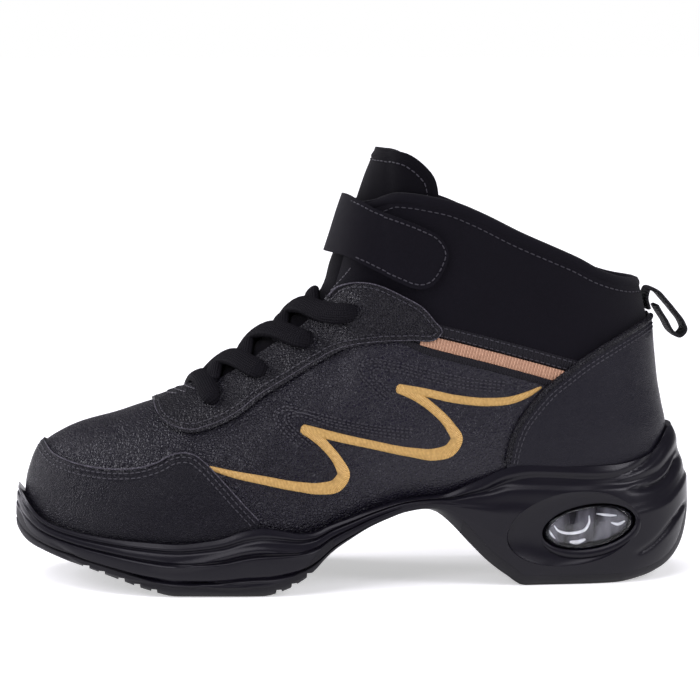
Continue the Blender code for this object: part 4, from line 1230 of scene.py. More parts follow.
# Lines of the upper
GUARD_LINE = smooth_line(side_line(TOE_GUARD_EDGE))
EYESTAY_LINE = smooth_line(side_line(EYESTAY_EDGE), closed=True)
STAY_LINE = np.concatenate((EYESTAY_LINE[9:], EYESTAY_LINE[:2]))
COUNTER_LINE = smooth_line(side_line(COUNTER_EDGE))
STRAP_LINE = smooth_line(side_line(STRAP_EDGE), closed=True)
TONGUE_SHAPE = [(TONGUE_TRIM.get(row[0], row[0]), row[1]) for row in TONGUE_EDGE]
TONGUE_LINE = smooth_line(side_line(TONGUE_SHAPE), closed=True)
COLLAR_LINE = smooth_line(side_line(COLLAR_EDGE))
PANEL_TOP = LEATHER_STEP + GAP / 3 + OVERLAY_WALL


# Upper
def make_upper():
    """Knitted boot with its lining, and the leather vamp and quarters over it."""
    boot = shell_solid("collar_boot", -UPPER_WALL, 0.0)
    top = COLLAR_LINE.tolist()
    keep_inside(boot, top + [(FAR, FAR_DOWN), (-FAR, FAR_DOWN), (-FAR, top[0][1])])
    combine(boot, throat_slot(), "DIFFERENCE")
    dress(boot, COLLAR_CLOTH, ("upper",))
    boot.data.materials.append(LINING_CLOTH)
    for polygon in boot.data.polygons:
        middle = polygon.center - SHIFT
        off_middle = middle.y - float(centre_line(middle.x))
        polygon.material_index = 1 if off_middle * polygon.normal.y < 0 else 0
    vamp = shell_solid("vamp_and_quarters", 0.00002, LEATHER_STEP)
    edge = smooth_line(side_line(LEATHER_EDGE)).tolist()
    corners = [(FAR, edge[-1][1]), (FAR, FAR_DOWN), (-FAR, FAR_DOWN)]
    keep_inside(vamp, [(-FAR, edge[0][1])] + edge + corners)
    combine(vamp, throat_slot(), "DIFFERENCE")
    dress(vamp, VAMP_LEATHER, ("upper",))


def rim_line():
    """Side view line just above the sole's rim, from the heel to the toe."""
    places = np.linspace(x_at(1.03), x_at(-0.03), 200)
    heights = height_from(SOLE_RIM, np.clip(places, x_at(0.0), x_at(1.0)))
    return [(float(x), float(z) - 0.0012) for x, z in zip(places, heights)]


def sewn_panel(name, node, outline, material, throat=False):
    """Panel sewn on the upper, inside a side view outline."""
    panel = shell_solid(name, PANEL_TOP - OVERLAY_WALL, PANEL_TOP)
    keep_inside(panel, outline)
    if throat:
        combine(panel, throat_slot(widen=0.0006), "DIFFERENCE")
    dress(panel, material, (node,))


def make_panels():
    """Toe guard, eyestay and heel counter."""
    rim = rim_line()
    guard = GUARD_LINE.tolist() + [point for point in rim if point[0] < GUARD_LINE[-1][0]]
    guard.append((-0.16, GUARD_LINE[0][1]))
    sewn_panel("toe_guard_leather", "toe_guard", guard, GUARD_LEATHER)
    sewn_panel("eyestay_leather", "eyestay", EYESTAY_LINE.tolist(), TRIM_LEATHER, throat=True)
    counter = COUNTER_LINE.tolist() + [point for point in rim if point[0] > COUNTER_LINE[0][0]]
    sewn_panel("heel_counter_leather", "heel_counter", counter, COUNTER_LEATHER)


def over_throat(x):
    """Whether places along the shoe lie over the throat opening."""
    return (x > x_at(THROAT_START)) & (x < x_at(THROAT_END))


def clear_runs(clear, least, *rows):
    """The runs of rows where a condition holds, if they have more points than the least."""
    turns = np.flatnonzero(np.diff(clear.astype(int))) + 1
    starts = np.concatenate(((0,), turns))
    pieces = zip(starts, *(np.split(row, turns) for row in rows))
    return [parts for start, *parts in pieces if clear[start] and len(parts[0]) > least]


def both_sides(line, offset, margin=None):
    """A line over both sides of the last, clear of the throat by a margin if one is given."""
    rows = [line_on_form(line, side, offset) for side in SIDES]
    if margin is None:
        return rows
    pieces = []
    for points, outward in rows:
        x = points[:, 0]
        clear = ~over_throat(x) | (np.abs(points[:, 1] - centre_line(x)) > THROAT_HALF_WIDTH + margin)
        pieces += clear_runs(clear, 7, points, outward)
    return pieces


def edge_rows(line, insets, offset, margin=None):
    """Rows over both sides of the last at distances from an edge."""
    return [row for distance in insets for row in both_sides(inset(line, distance), offset, margin)]


def make_stitching():
    """Rows of stitches inside the edges of the panels."""
    rows = (
        ("guard_stitches", GUARD_LINE[6:], (-0.0016, -0.0034), None),
        ("eyestay_stitches", STAY_LINE, (0.0017,), 0.0016),
        ("counter_stitches", COUNTER_LINE[:-4], (-0.0026, -0.0040), None),
    )
    for name, line, insets, margin in rows:
        sew(name, "overlay_leather", edge_rows(line, insets, PANEL_TOP + 0.00005, margin))


def crown(height, steps=7):
    """Rounded cross profile of a raised strip."""
    made = []
    for step in range(steps):
        across = -1 + 2 * step / (steps - 1)
        made.append((across, height * (1 - abs(across) ** 2.4)))
    return made


def make_edge_highlights():
    """Thin raised strip along each panel's edge, with a painted highlight where the edge catches the light."""
    for name, line in (("guard_edge_highlight", GUARD_LINE[5:]), ("eyestay_edge_highlight", STAY_LINE)):
        limit = np.where(over_throat(line[:, 0]), THROAT_HALF_WIDTH + 0.0008, 0.0015)
        clear = last_half_width(line[:, 0], line[:, 1]) > limit
        strips = [(part, 0.00028, PANEL_TOP - 0.0003) for part, in clear_runs(clear, 4, line)]
        relief_strips(name, strips, crown(0.00135, 5), EDGE_HIGHLIGHT)


def make_piping():
    """Rolled edge of the heel counter."""
    line = inset(COUNTER_LINE[:-4], -0.0002)
    for side, side_name in zip(SIDES, SIDE_NAMES):
        points, outward = line_on_form(line, side, LEATHER_STEP + 0.0008, gap=0.0012)
        piping = tube("counter_piping_" + side_name, points, outward, 0.0026, 0.0024)
        dress(piping, TRIM_LEATHER)


def make_embroidery():
    """Gold zigzag strokes of satin stitch, and the dark stitched echo lines beside them."""
    strokes = []
    pixel = CAMERA_DISTANCE / FOCAL_PIXELS
    for stroke in GOLD_STROKES:
        places = [seen_place(row[0], row[1]) + (row[2] * pixel * 0.62,) for row in stroke]
        fine = smooth_line(places, steps=12)
        steps = lengths_along(fine[:, :2])
        from_end = np.minimum(steps, steps[-1] - steps) + 0.0001
        rounding = np.sqrt(np.clip(1 - np.clip(1 - from_end / 0.0014, 0, 1) ** 2, 0, 1))
        strokes.append((fine[:, :2], np.maximum(fine[:, 2] * rounding, 0.0002), LEATHER_STEP))
    relief_strips("gold_embroidery", strokes, crown(0.00062), GOLD_THREAD)
    rows = []
    for stroke in ECHO_STROKES:
        rows += edge_rows(smooth_line(seen_line(stroke), steps=7), (-0.0006, 0.0006), LEATHER_STEP + 0.00005)
    sew("echo_embroidery", "upper_leather", rows, pitch=0.0017, length=0.0012, thick=0.00036)


def make_quarter_top():
    """Ribbed ribbon along the top of the quarter, the stitched band over it and the binding under it."""
    shares = np.linspace(0.584, 0.808, 64)
    rows = column(RIBBON_EDGES, 0)
    beyond = np.minimum(0.0, shares - rows[0]) + np.maximum(0.0, shares - rows[-1])
    x = x_at(shares)
    high = TONGUE_HEIGHT * (np.interp(shares, rows, column(RIBBON_EDGES, 1)) - 0.44 * beyond)
    low = TONGUE_HEIGHT * (np.interp(shares, rows, column(RIBBON_EDGES, 2)) - 0.44 * beyond)
    flat = [(-1.0, 0.0006), (-0.92, 0.00085), (0.0, 0.0009), (0.92, 0.00085), (1.0, 0.0006)]
    middle = np.column_stack((x, (high + low) / 2))
    weave = [(middle, (high - low) / 2, 0.00045)]
    for side, side_name in zip(SIDES, SIDE_NAMES):
        name = "ribbon_" + side_name
        relief_strips(name + "_weave", weave, flat, RIBBON, (name,), sides=(side,))
    over = np.column_stack((x, high + 0.0027))
    over = np.concatenate((over, over[-1:] + np.array([(0.004, -0.0011), (0.0085, -0.0024)])))
    relief_strips("quarter_band", [(over, 0.0026, 0.0001)], crown(0.0009), BINDING)
    rows = both_sides(over + (0.0, 0.0016), 0.0008) + both_sides(over - (0.0, 0.0016), 0.0008)
    sew("band_stitches", "padded_fabric", rows, pitch=0.0022, length=0.0016, thick=0.00026)
    extended = np.concatenate((middle[:1] + np.array([(-0.0095, 0.0052)]), middle))
    under = smooth_line((extended - (0.0, 0.0037))[::4], steps=4)
    binding = [(under, 0.0016, LEATHER_STEP - 0.0001)]
    relief_strips("quarter_binding", binding, crown(0.0007), BINDING)


def edge_path(line, offset, gap):
    """Even points along an edge over the outer side and back over the inner one, and directions outwards."""
    outer, outward = line_on_form(line, -1, offset, gap)
    inner, inward = line_on_form(line, 1, offset, gap)
    points = np.concatenate((outer, inner[::-1]))
    spots, _, directions = evenly(points, 0.0018, np.concatenate((outward, inward[::-1])))
    return spots, directions


def make_collar_rim():
    """Padded roll round the top of the collar."""
    line = COLLAR_LINE[2:]
    spots, directions = edge_path(line, -UPPER_WALL / 2, 0.0016)
    ends = np.minimum(np.arange(len(spots)), np.arange(len(spots))[::-1]) / 6
    grow = 0.55 + 0.45 * np.clip(ends, 0, 1)
    spots[:, 2] -= 0.0019
    rim = tube("collar_rim", spots, directions, 0.0050, 0.0040 * grow, around=14)
    dress(rim, COLLAR_CLOTH)
    rows = edge_rows(line, (-0.0052,), 0.0001)
    sew("collar_stitches", "padded_fabric", rows, pitch=0.0025, length=0.0018, thick=0.00024)


def ramp(value):
    """Value held between nought and one."""
    return min(1.0, max(0.0, value))


def swell_in_throat(tongue):
    """Let the tongue's padding swell up between the edges of the throat."""
    for vert in tongue.data.vertices:
        place = vert.co - SHIFT
        share = float(share_at(place.x))
        off_middle = abs(place.y - float(centre_line(place.x))) / (THROAT_HALF_WIDTH * 0.98)
        across = max(0.0, 1 - off_middle ** 2) ** 0.4
        vert.co.z += 0.0046 * across * ramp((share - 0.272) / 0.03) * ramp((0.500 - share) / 0.04)
        ankle = math.exp(-(((place.z - 0.122) / 0.013) ** 2)) if share < 0.56 else 0.0
        vert.co.x -= 0.0030 * across * ankle


def make_tongue():
    """Padded tongue with its bound top edge."""
    outer = -UPPER_WALL - GAP
    tongue = shell_solid("tongue_pad", outer - TONGUE_WALL, outer)
    keep_inside(tongue, TONGUE_LINE.tolist())
    middle = float(centre_line(x_at(0.4)))
    right, left = middle - TONGUE_HALF_WIDTH, middle + TONGUE_HALF_WIDTH
    band = [(-FAR, right), (FAR, right), (FAR, left), (-FAR, left)]
    combine(tongue, prism("band", band, -REACH, 2 * TONGUE_HEIGHT, upright=True), "INTERSECT")
    swell_in_throat(tongue)
    dress(tongue, TONGUE_CLOTH, ("tongue",))
    edge = smooth_line(side_line(TONGUE_SHAPE[1:9]), steps=10)[:TONGUE_ROLL_POINTS]
    spots, directions = edge_path(inset(edge, -0.0016)[::-1], outer - TONGUE_WALL / 2, 0.001)
    roll = tube("tongue_binding", spots, directions, 0.0036, TONGUE_WALL + 0.0006, around=14, square=0.8)
    dress(roll, TONGUE_CLOTH)
    sew("tongue_stitches", "padded_fabric", edge_rows(edge, (-0.0044,), outer + 0.0001), thick=0.00026)


def make_gusset_seam():
    """Light seam where the tongue's gusset joins the collar, below the strap."""
    line = smooth_line(seen_line(((353, 268), (347, 276), (340, 284), (333, 292))), steps=6)
    rows = both_sides(line, 0.0012)
    sew("gusset_stitches", "padded_fabric", rows, pitch=0.0019, length=0.0016, thick=0.00026)


def make_strap():
    """Closing strap round the front of the ankle, with its row of stitches."""
    top = STRAP_STANDOFF + STRAP_WALL
    strap = shell_solid("ankle_strap", STRAP_STANDOFF, top)
    keep_inside(strap, STRAP_LINE.tolist())
    for vert in strap.data.vertices:
        place = vert.co - SHIFT
        off_middle = (place.y - float(centre_line(place.x))) / 0.013
        lowness = ramp((0.152 - place.z) / 0.030)
        vert.co.x -= (0.0006 + 0.0018 * lowness) * math.exp(-(off_middle ** 2))
    dress(strap, COLLAR_CLOTH, ("strap",))
    sew("strap_stitches", "padded_fabric", edge_rows(STRAP_LINE[13:98], (-0.0014,), top + 0.00005))


def make_insole():
    """Thin cloth-covered footbed."""
    insole = ring_solid("insole_cloth", form_grid(-UPPER_WALL - GAP))
    places = np.linspace(x_at(-0.02), x_at(1.02), 120)
    outline = [(float(places[0]), -REACH), (float(places[-1]), -REACH)]
    outline += [(float(x), float(footbed_height(x)) + INSOLE_THICKNESS) for x in reversed(places)]
    keep_inside(insole, outline)
    dress(insole, INSOLE_CLOTH, ("insole",))


# Laces
def lace_bed():
    """Search tree of the surface that the lace lies on."""
    grid = form_grid(PANEL_TOP)
    levels, around = grid.shape[:2]
    return BVHTree.FromPolygons([tuple(point) for point in grid.reshape(-1, 3)], ring_faces(levels, around))


def drop_on(bed, x, y):
    """Top of the bed at a place in the plan, and the direction outwards there."""
    spot, normal, _, _ = bed.ray_cast(Vector((x, y, 2 * TONGUE_HEIGHT)), Vector((0, 0, -1)))
    return spot, -normal if normal.z < 0 else normal


def lace_holes(bed):
    """Places of the lace holes on the outer and the inner side, with directions outwards."""
    holes = {}
    for row, (across, down) in enumerate(LACE_HOLES):
        x, z = seen_place(across, down)
        spots, outward = surface_points([x], [z], -1, PANEL_TOP)
        holes[row, -1] = (Vector(spots[0]), Vector(outward[0]))
        x = x_at(INNER_HOLES[row])
        holes[row, 1] = drop_on(bed, x, float(centre_line(x)) + THROAT_HALF_WIDTH * INNER_HOLE_SPREAD[row])
    return holes


def lace_run(name, bed, start, end, ridge, rise, wide):
    """One run of the flat lace, out of one hole, over the ridge of the throat and into another."""
    turn_x = x_at(ridge)
    turn_y = float(centre_line(turn_x))
    path = []
    normals = []
    for share in np.linspace(-1, 1, 30):
        hole = start[0] if share < 0 else end[0]
        x = turn_x + (hole.x - turn_x) * abs(share)
        y = turn_y + (hole.y - turn_y) * (math.sin(abs(share) * 1.4) / math.sin(1.4))
        spot, normal = drop_on(bed, x, y)
        off_middle = abs(y - float(centre_line(x))) / THROAT_HALF_WIDTH
        hump = max(0.0, 1 - (off_middle / 1.35) ** 2)
        path.append(spot + normal * (0.0013 + rise * hump))
        normals.append(normal)
    edges = [spot + outward * 0.0004 for spot, outward in (start, end)]
    dips = [spot - outward * 0.0022 for spot, outward in (start, end)]
    path = smooth_path(np.array([dips[0], edges[0]] + path[1:-1] + [edges[1], dips[1]]))
    normals = np.array(normals[:1] + normals + normals[-1:])
    near_end = np.minimum(np.arange(len(path)), np.arange(len(path))[::-1])
    width = LACE_WIDTH * wide * np.clip(0.62 + 0.11 * near_end, 0, 1)
    height = 0.0030 + 0.0012 * np.clip(near_end / 8, 0, 1)
    run = tube(name, path, normals, width, height, around=16, square=0.9)
    dress(run, LACE_CORD, ("laces",), flat=60)


def smooth_path(path):
    """Path with its kinks eased, its ends kept."""
    eased = path.copy()
    for _ in range(2):
        eased[1:-1] = eased[:-2] * 0.25 + eased[1:-1] * 0.5 + eased[2:] * 0.25
    return eased


def throat_edge_place(bed, share):
    """Place at the outer edge of the throat, where a run dives under the eyestay."""
    x = x_at(share)
    spot, normal = drop_on(bed, x, float(centre_line(x)) - THROAT_HALF_WIDTH * 0.98)
    return spot - normal * 0.0012, normal


def make_laces(bed, holes):
    """Crossing runs of the lace: over the eyestay into its holes, and under its edge from the other side."""
    lace_run("lace_bar", bed, holes[0, -1], holes[0, 1], LACE_RIDGES[0], 0.0002, 1.2)
    for row in range(1, 4):
        between = (LACE_RIDGES[row] + LACE_RIDGES[row - 1]) / 2 + 0.006
        dive = throat_edge_place(bed, between - 0.012)
        lace_run(f"lace_under_{row}", bed, holes[row, 1], dive, between, -0.0004, 1.15)
        lace_run(f"lace_over_{row}", bed, holes[row, -1], holes[row - 1, 1], LACE_RIDGES[row], 0.0007, 1.3)
    top = throat_edge_place(bed, LACE_RIDGES[3] + 0.016)
    lace_run("lace_top", bed, holes[3, 1], top, LACE_RIDGES[3] + 0.024, -0.0008, 1.1)


def make_hole_rims(holes):
    """Punched holes of the eyestay: a pressed rim round each."""
    for (row, side), (spot, outward) in holes.items():
        bpy.ops.object.select_all(action="DESELECT")
        bpy.ops.mesh.primitive_torus_add(
            major_radius=0.0029, minor_radius=0.0006, major_segments=28, minor_segments=8, location=(0, 0, 0)
        )
        ring = bpy.context.object
        ring.name = f"hole_rim_{row}_{'outer' if side < 0 else 'inner'}"
        bpy.ops.object.mode_set(mode="EDIT")
        bpy.ops.mesh.select_all(action="SELECT")
        bpy.ops.transform.resize(value=(1.0, 0.8, 0.7), center_override=(0, 0, 0))
        bpy.ops.object.mode_set(mode="OBJECT")
        turn = outward.to_track_quat("Z", "X").to_matrix().to_4x4()
        ring.data.transform(Matrix.Translation(spot + SHIFT) @ turn)
        dress(ring, TRIM_LEATHER, flat=60)


def make_throat_tacks(bed):
    """Rows of stitches that close the foot of the throat."""
    rows = []
    for share, reach in ((0.224, 0.0085), (0.236, 0.0100), (0.250, 0.0105)):
        row = []
        for step in np.linspace(-1, 1, 26):
            x = x_at(share) + 0.0035 * step * step
            row.append(drop_on(bed, x, float(centre_line(x)) + reach * step))
        rows.append([np.array([tuple(place[index]) for place in row]) for index in (0, 1)])
    sew("throat_tacks", "overlay_leather", rows, pitch=0.0019, length=0.0017, thick=0.0004)


def make_pull_loop():
    """Webbing loop at the back of the collar."""
    fine = smooth_line(side_line(LOOP_PATH), steps=6)
    y = float(centre_line(x_at(0.95)))
    path = np.column_stack((fine[:, 0], np.full(len(fine), y), fine[:, 1]))
    normals = unit(np.cross(np.gradient(path, axis=0), (0.0, 1.0, 0.0)))
    loop = tube("pull_loop_webbing", path, normals, LOOP_WIDTH, LOOP_THICKNESS, around=16, square=0.45)
    dress(loop, WEBBING, ("pull_loop",), flat=50)


# Sole
def distance_to_line(x, z, line):
    """Distance of side view places to a line, and how far along it they are as a share."""
    best = np.full(np.shape(x), 1e9)
    share = np.zeros(np.shape(x))
    count = len(line) - 1
    for index in range(count):
        ax, az = line[index]
        bx, bz = line[index + 1]
        span = (bx - ax) ** 2 + (bz - az) ** 2
        t = np.clip(((x - ax) * (bx - ax) + (z - az) * (bz - az)) / span, 0, 1)
        away = np.hypot(x - ax - t * (bx - ax), z - az - t * (bz - az))
        closer = away < best
        best = np.where(closer, away, best)
        share = np.where(closer, (index + t) / count, share)
    return best, share


def sole_relief(x, z):
    """Height of the moulded grooves and ridges over the sole's side."""
    total = np.zeros(np.shape(x))
    for points, width, lift, fade_start, fade_end in SOLE_RELIEF:
        line = smooth_line(seen_line(points, on_sole=True), steps=4)
        away, share = distance_to_line(x, z, line)
        fade = np.clip(share / fade_start, 0, 1)
        if fade_end > 0:
            fade = fade * np.clip((1 - share) / fade_end, 0, 1)
        total = total + lift * fade * np.exp(-((away / width) ** 2))
    return total


def sole_rings():
    """Rings of the sole's side from the underside up to the rim, with the moulded relief."""
    forward, side = ring_turns(SOLE_RING_POINTS)
    shares = column(SOLE_SIDE, 0)
    heel_outsets = [0.05 if 0.60 < row[0] < 0.66 else row[2] for row in SOLE_SIDE]
    leans = [BACK_LEANS.get(row[0], row[3]) for row in SOLE_SIDE]
    foot_back = x_at(1.0) + (SOLE_SIDE[0][2] + SOLE_SIDE[0][3]) * SOLE_FLARE
    foot_front = x_at(0.0) - SOLE_SIDE[0][1] * SOLE_FLARE * 0.5
    low = underside_height(foot_back + (foot_front - foot_back) * forward)
    rim_back = x_at(1.0) + (SOLE_SIDE[-1][2] + leans[-1]) * SOLE_FLARE
    rim_front = x_at(0.0) - SOLE_SIDE[-1][1] * SOLE_FLARE * 0.5
    rim_x = rim_back + (rim_front - rim_back) * forward
    high = height_from(SOLE_RIM, rim_x) + TOE_TIP_RISE * np.exp(-(((rim_x - rim_front) / 0.0075) ** 2))
    rings = []
    for share in np.linspace(0.0, 1.0, SOLE_RING_ROWS):
        forefoot_outset = float(table_value(share, SOLE_SIDE)) * SOLE_FLARE
        heel_outset = float(smooth_value(share, shares, heel_outsets)) * SOLE_FLARE
        lean = float(smooth_value(share, shares, leans)) * SOLE_FLARE
        back_x = x_at(1.0) + heel_outset + lean
        front_x = x_at(0.0) - forefoot_outset * 0.5
        x = back_x + (front_x - back_x) * forward
        outset = forefoot_outset + (heel_outset - forefoot_outset) * smooth_step((share_at(x) - 0.40) / 0.25)
        half = (plan_half_width(x) + SOLE_FLARE + outset) * sole_ends(x, front_x, back_x)
        rings.append(ring_at(x, half, low + (high - low) * share, forward, side))
    grid = np.array(rings)
    around = np.roll(grid, -1, axis=1) - np.roll(grid, 1, axis=1)
    outward = unit(np.stack((-around[:, :, 1], around[:, :, 0], np.zeros(around.shape[:2])), axis=2))
    middle = grid.mean(axis=1, keepdims=True)
    if np.sum(outward[:, :, 1] * (grid - middle)[:, :, 1]) < 0:
        outward = -outward
    lift = sole_relief(grid[:, :, 0], grid[:, :, 2])
    return grid + outward * lift[:, :, None]


def pad_region(start, end, margin):
    """Side view region that an outsole pad takes up."""
    places = np.linspace(x_at(start), x_at(end), 180)
    high = [(float(x), float(outsole_top(x, margin))) for x in reversed(places)]
    high[0] = (high[0][0] + margin, high[0][1])
    high[-1] = (high[-1][0] - margin, high[-1][1])
    return prism("pad region", [(high[-1][0], -REACH), (high[0][0], -REACH)] + high, -REACH, REACH)


def tilted(u, v, share=WINDOW_PLACE[0]):
    """Side view place from distances along and across the tilted window."""
    x = x_at(share) + u * math.cos(WINDOW_TILT) - v * math.sin(WINDOW_TILT)
    z = TONGUE_HEIGHT * WINDOW_PLACE[1] + u * math.sin(WINDOW_TILT) + v * math.cos(WINDOW_TILT)
    return np.column_stack((x, z))


def oval_outline(half_length, half_height, share=WINDOW_PLACE[0]):
    """Tilted oval in the side view."""
    turn = 2 * math.pi * np.arange(72) / 72
    return tilted(half_length * np.cos(turn), half_height * np.sin(turn), share)


WINDOW_FACE = float(plan_half_width(x_at(WINDOW_PLACE[0]))) + SOLE_FLARE - RECESS_DEPTH
WINDOW_MIDDLE = float(centre_line(x_at(WINDOW_PLACE[0])))


def bowl_cutter(side):
    """Body of one oval recess, wide at the sole's side and sloping in to the window."""
    depth = RECESS_DEPTH
    share = WINDOW_PLACE[0] - RECESS_MARGIN_BACK / SOLE_LENGTH * 2
    wide = oval_outline(RECESS_HALF_LENGTH, RECESS_HALF_HEIGHT, share)
    tight = oval_outline(WINDOW_HALF_LENGTH + 0.0016, WINDOW_HALF_HEIGHT + 0.0016)
    rows = (
        (0.0, -0.0002), (0.35, 0.0003), (0.75, 0.0013),
        (1.0, depth * 0.62), (1.06, depth + 0.0006), (1.1, 0.02),
    )
    points = []
    for blend, outwards in rows:
        points += [(x, side * (WINDOW_FACE + outwards), z) for x, z in tight + (wide - tight) * blend]
    cutter = mesh_object("recess", points, closed_ring_faces(len(rows), len(wide)))
    turn_faces_out(cutter, triangles=False)
    return cutter


def make_midsole():
    """Moulded midsole with its cup, ribs, recesses and the window's tunnel."""
    midsole = ring_solid("midsole_body", sole_rings())
    combine(midsole, ring_solid("cup", form_grid(LEATHER_STEP + GAP)), "DIFFERENCE")
    for start, end, _ in PADS.values():
        combine(midsole, pad_region(start, end, 0.00005), "DIFFERENCE")
    for side in SIDES:
        combine(midsole, bowl_cutter(side), "DIFFERENCE")
    tunnel = oval_outline(WINDOW_HALF_LENGTH + GAP, WINDOW_HALF_HEIGHT + GAP).tolist()
    combine(midsole, prism("tunnel", tunnel, -REACH, REACH), "DIFFERENCE")
    dress(midsole, MIDSOLE_RUBBER, ("midsole",), flat=40)


def ring_cutter(radius, width, depth):
    """Ring-shaped groove of the turning spot under the ball of the foot."""
    x0 = x_at(PIVOT_PLACE)
    y0 = float(centre_line(x0))
    steps = 64
    turns = [2 * math.pi * step / steps for step in range(steps)]
    points = []
    for ring_radius in (radius - width / 2, radius + width / 2):
        for z in (-depth, depth):
            points += [(x0 + ring_radius * math.cos(t), y0 + ring_radius * math.sin(t), z) for t in turns]
    faces = []
    for first, second in ((0, 1), (1, 3), (3, 2), (2, 0)):
        low, high = first * steps, second * steps
        for step in range(steps):
            after = (step + 1) % steps
            faces.append((low + step, low + after, high + after, high + step))
    ring = mesh_object("pivot", points, faces)
    turn_faces_out(ring, triangles=False)
    return ring


def make_outsoles():
    """Rubber treads with cross grooves and the turning spot."""
    half = GROOVE_WIDTH / 2
    for name, (start, end, grooves) in PADS.items():
        pad = ring_solid(name + "_tread", sole_rings())
        combine(pad, pad_region(start, end, 0.0), "INTERSECT")
        reach = HEEL_GROOVE_REACH if name == "outsole_heel" else REACH
        for share in grooves:
            x = x_at(share)
            top = float(underside_height(x)) + GROOVE_DEPTH
            outline = [(x - half, -REACH), (x + half, -REACH), (x + half, top), (x - half, top)]
            middle = float(centre_line(x))
            combine(pad, prism("groove", outline, middle - reach, middle + reach), "DIFFERENCE")
        if name == "outsole_forefoot":
            for radius in (PIVOT_RADIUS, PIVOT_RADIUS * 0.66, PIVOT_RADIUS * 0.32):
                combine(pad, ring_cutter(radius, GROOVE_WIDTH * 0.8, GROOVE_DEPTH), "DIFFERENCE")
        dress(pad, TREAD_RUBBER, (name,), flat=40)


def make_window():
    """Clear capsule through the heel, and the smoky air chamber inside it."""
    reach = WINDOW_FACE + 0.3 * RECESS_DEPTH
    length, height = WINDOW_HALF_LENGTH, WINDOW_HALF_HEIGHT
    centre = Vector((x_at(WINDOW_PLACE[0]), WINDOW_MIDDLE, TONGUE_HEIGHT * WINDOW_PLACE[1])) + SHIFT
    turned = Matrix.Rotation(-WINDOW_TILT, 4, "Y") @ Matrix.Rotation(math.pi / 2, 4, "X")
    shapes = (
        ("heel_capsule", (length + 0.0001, height + 0.0001, reach, 1.0), 0.16, CLEAR, ("air_window",)),
        ("air_cushion", (length * 0.975, height * 0.955, reach * 0.93, 1.0), 0.20, CUSHION, ()),
    )
    for name, size, dome, material, nodes in shapes:
        bpy.ops.object.select_all(action="DESELECT")
        bpy.ops.mesh.primitive_cylinder_add(vertices=96, radius=1.0, depth=2.0, location=(0, 0, 0))
        body = bpy.context.object
        body.name = name
        bpy.ops.object.mode_set(mode="EDIT")
        bpy.ops.mesh.select_all(action="DESELECT")
        bpy.ops.object.mode_set(mode="OBJECT")
        for polygon in body.data.polygons:
            polygon.select = abs(polygon.normal.z) > 0.9
        bpy.ops.object.mode_set(mode="EDIT")
        bpy.ops.mesh.select_mode(type="FACE")
        bpy.ops.mesh.bevel(offset=dome, segments=10, profile=0.5, affect="EDGES")
        bpy.ops.object.mode_set(mode="OBJECT")
        if name == "air_cushion":
            for vert in body.data.vertices:
                vert.co.y *= 1 - 0.06 * math.exp(-((vert.co.x / 0.16) ** 2))
                vert.co.x *= 1 - 0.04 * math.cos(9 * vert.co.z)
        body.data.transform(Matrix.Translation(centre) @ turned @ Matrix.Diagonal(size))
        work = bmesh.new()
        work.from_mesh(body.data)
        bmesh.ops.recalc_face_normals(work, faces=work.faces)
        work.to_mesh(body.data)
        work.free()
        dress(body, material, nodes, flat=50)


def window_path(side, places, outwards):
    """Path over one face of the window, and the directions outwards."""
    y = np.broadcast_to(WINDOW_MIDDLE + side * outwards, (len(places),))
    outward = np.tile((0.0, float(side), 0.0), (len(places), 1))
    return np.column_stack((places[:, 0], y, places[:, 1])), outward


def make_seam_highlights():
    """Curved seams of the air chamber just behind both clear faces, painted near-white as highlights in the
    window.
    """
    for side, side_name in zip(SIDES, SIDE_NAMES):
        for label, points, wide in CHAMBER_SEAMS:
            fine = smooth_line(points, steps=7) * (WINDOW_HALF_LENGTH, WINDOW_HALF_HEIGHT)
            path, normals = window_path(side, tilted(fine[:, 0], fine[:, 1]), WINDOW_FACE * 0.965)
            width = wide * (0.45 + 0.55 * np.sin(np.linspace(0, math.pi, len(path))))
            seam = tube(f"chamber_seam_{label}_{side_name}", path, normals, width, 0.0012, around=8)
            dress(seam, SEAM_HIGHLIGHT, flat=60)


def make_window_lips():
    """Rolled rubber lip round each window, thicker underneath."""
    turns = np.linspace(0, 2 * math.pi, 97)
    lowness = np.clip(-np.sin(turns - 0.15), 0, 1) ** 0.8
    grow = 0.0008 + 0.0010 * lowness
    places = tilted((WINDOW_HALF_LENGTH + grow) * np.cos(turns), (WINDOW_HALF_HEIGHT + grow) * np.sin(turns))
    width = 0.0013 + 0.0028 * lowness
    height = 0.0014 + 0.0018 * lowness
    for side, side_name in zip(SIDES, SIDE_NAMES):
        path, normals = window_path(side, places, WINDOW_FACE + 0.0006 * lowness)
        lip = tube(f"window_lip_{side_name}", path, normals, width, height)
        dress(lip, MIDSOLE_RUBBER, flat=60)


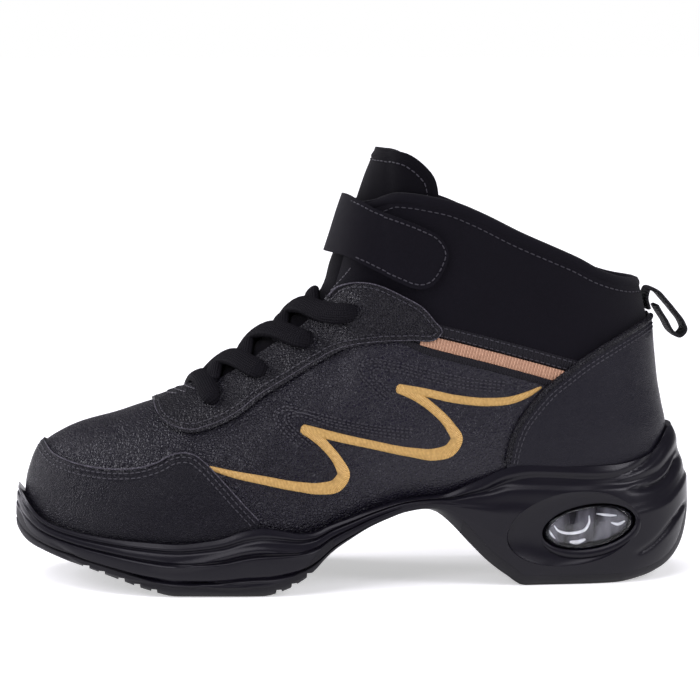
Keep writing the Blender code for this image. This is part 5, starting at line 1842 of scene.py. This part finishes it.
# Surroundings
def make_floor():
    """Plain pale floor."""
    bpy.ops.object.select_all(action="DESELECT")
    bpy.ops.mesh.primitive_plane_add(size=40.0, location=(0, 0, 0))
    floor = bpy.context.object
    floor.name = "floor"
    material, _, shader = new_material("pale floor", 0.0)
    shader.inputs["Base Color"].default_value = (0.90, 0.90, 0.90, 1.0)
    shader.inputs["Roughness"].default_value = 1.0
    shader.inputs["Emission Color"].default_value = (1.0, 1.0, 1.0, 1.0)
    shader.inputs["Emission Strength"].default_value = 0.50
    floor.data.materials.append(material)


def lamp_data(name, kind, watts):
    """Cool white lamp."""
    data = bpy.data.lights.new(name, kind)
    data.energy = watts
    data.color = COOL_WHITE
    return data


def make_light():
    """White surroundings and soft lamps from above and behind."""
    world = bpy.data.worlds.new("studio")
    world.use_nodes = True
    bpy.context.scene.world = world
    tree = world.node_tree
    seen = tree.nodes.new("ShaderNodeLightPath").outputs["Is Camera Ray"]
    colour = blend_colours(tree, seen, COOL_WHITE, (1.0, 1.0, 1.0))
    strength = plus(tree, times(tree, seen, 0.80), 0.20)
    feed(tree, tree.nodes["Background"], {"Color": colour, "Strength": strength})
    sun = lamp_data("high sun", "SUN", 2.2)
    sun.angle = math.radians(50)
    put_in_scene("high sun", sun, (0, 0, 0), (0.25, 0.30, -1.0))
    lamps = (
        ("front left", (-0.55, -0.75, 0.55), (-0.03, 0, 0.06), (0.40, 0.30), 2.6),
        ("front right", (0.75, -0.60, 0.60), (0.06, 0, 0.06), (0.22, 0.5), 4.5),
        ("left back", (-0.75, 0.35, 0.35), (-0.08, 0, 0.04), (0.3, 0.5), 4.0),
    )
    for name, place, aim, size, watts in lamps:
        data = lamp_data(name, "AREA", watts)
        data.shape = "RECTANGLE"
        data.size, data.size_y = size
        put_in_scene(name, data, place, Vector(aim) - Vector(place))
    bpy.context.scene.view_settings.view_transform = "Standard"


make_upper()
make_panels()
make_stitching()
make_edge_highlights()
make_piping()
make_embroidery()
make_quarter_top()
make_collar_rim()
make_tongue()
make_gusset_seam()
make_strap()
make_insole()
bed = lace_bed()
holes = lace_holes(bed)
make_laces(bed, holes)
make_hole_rims(holes)
make_throat_tacks(bed)
make_pull_loop()
make_midsole()
make_outsoles()
make_window()
make_seam_highlights()
make_window_lips()
make_floor()
make_light()
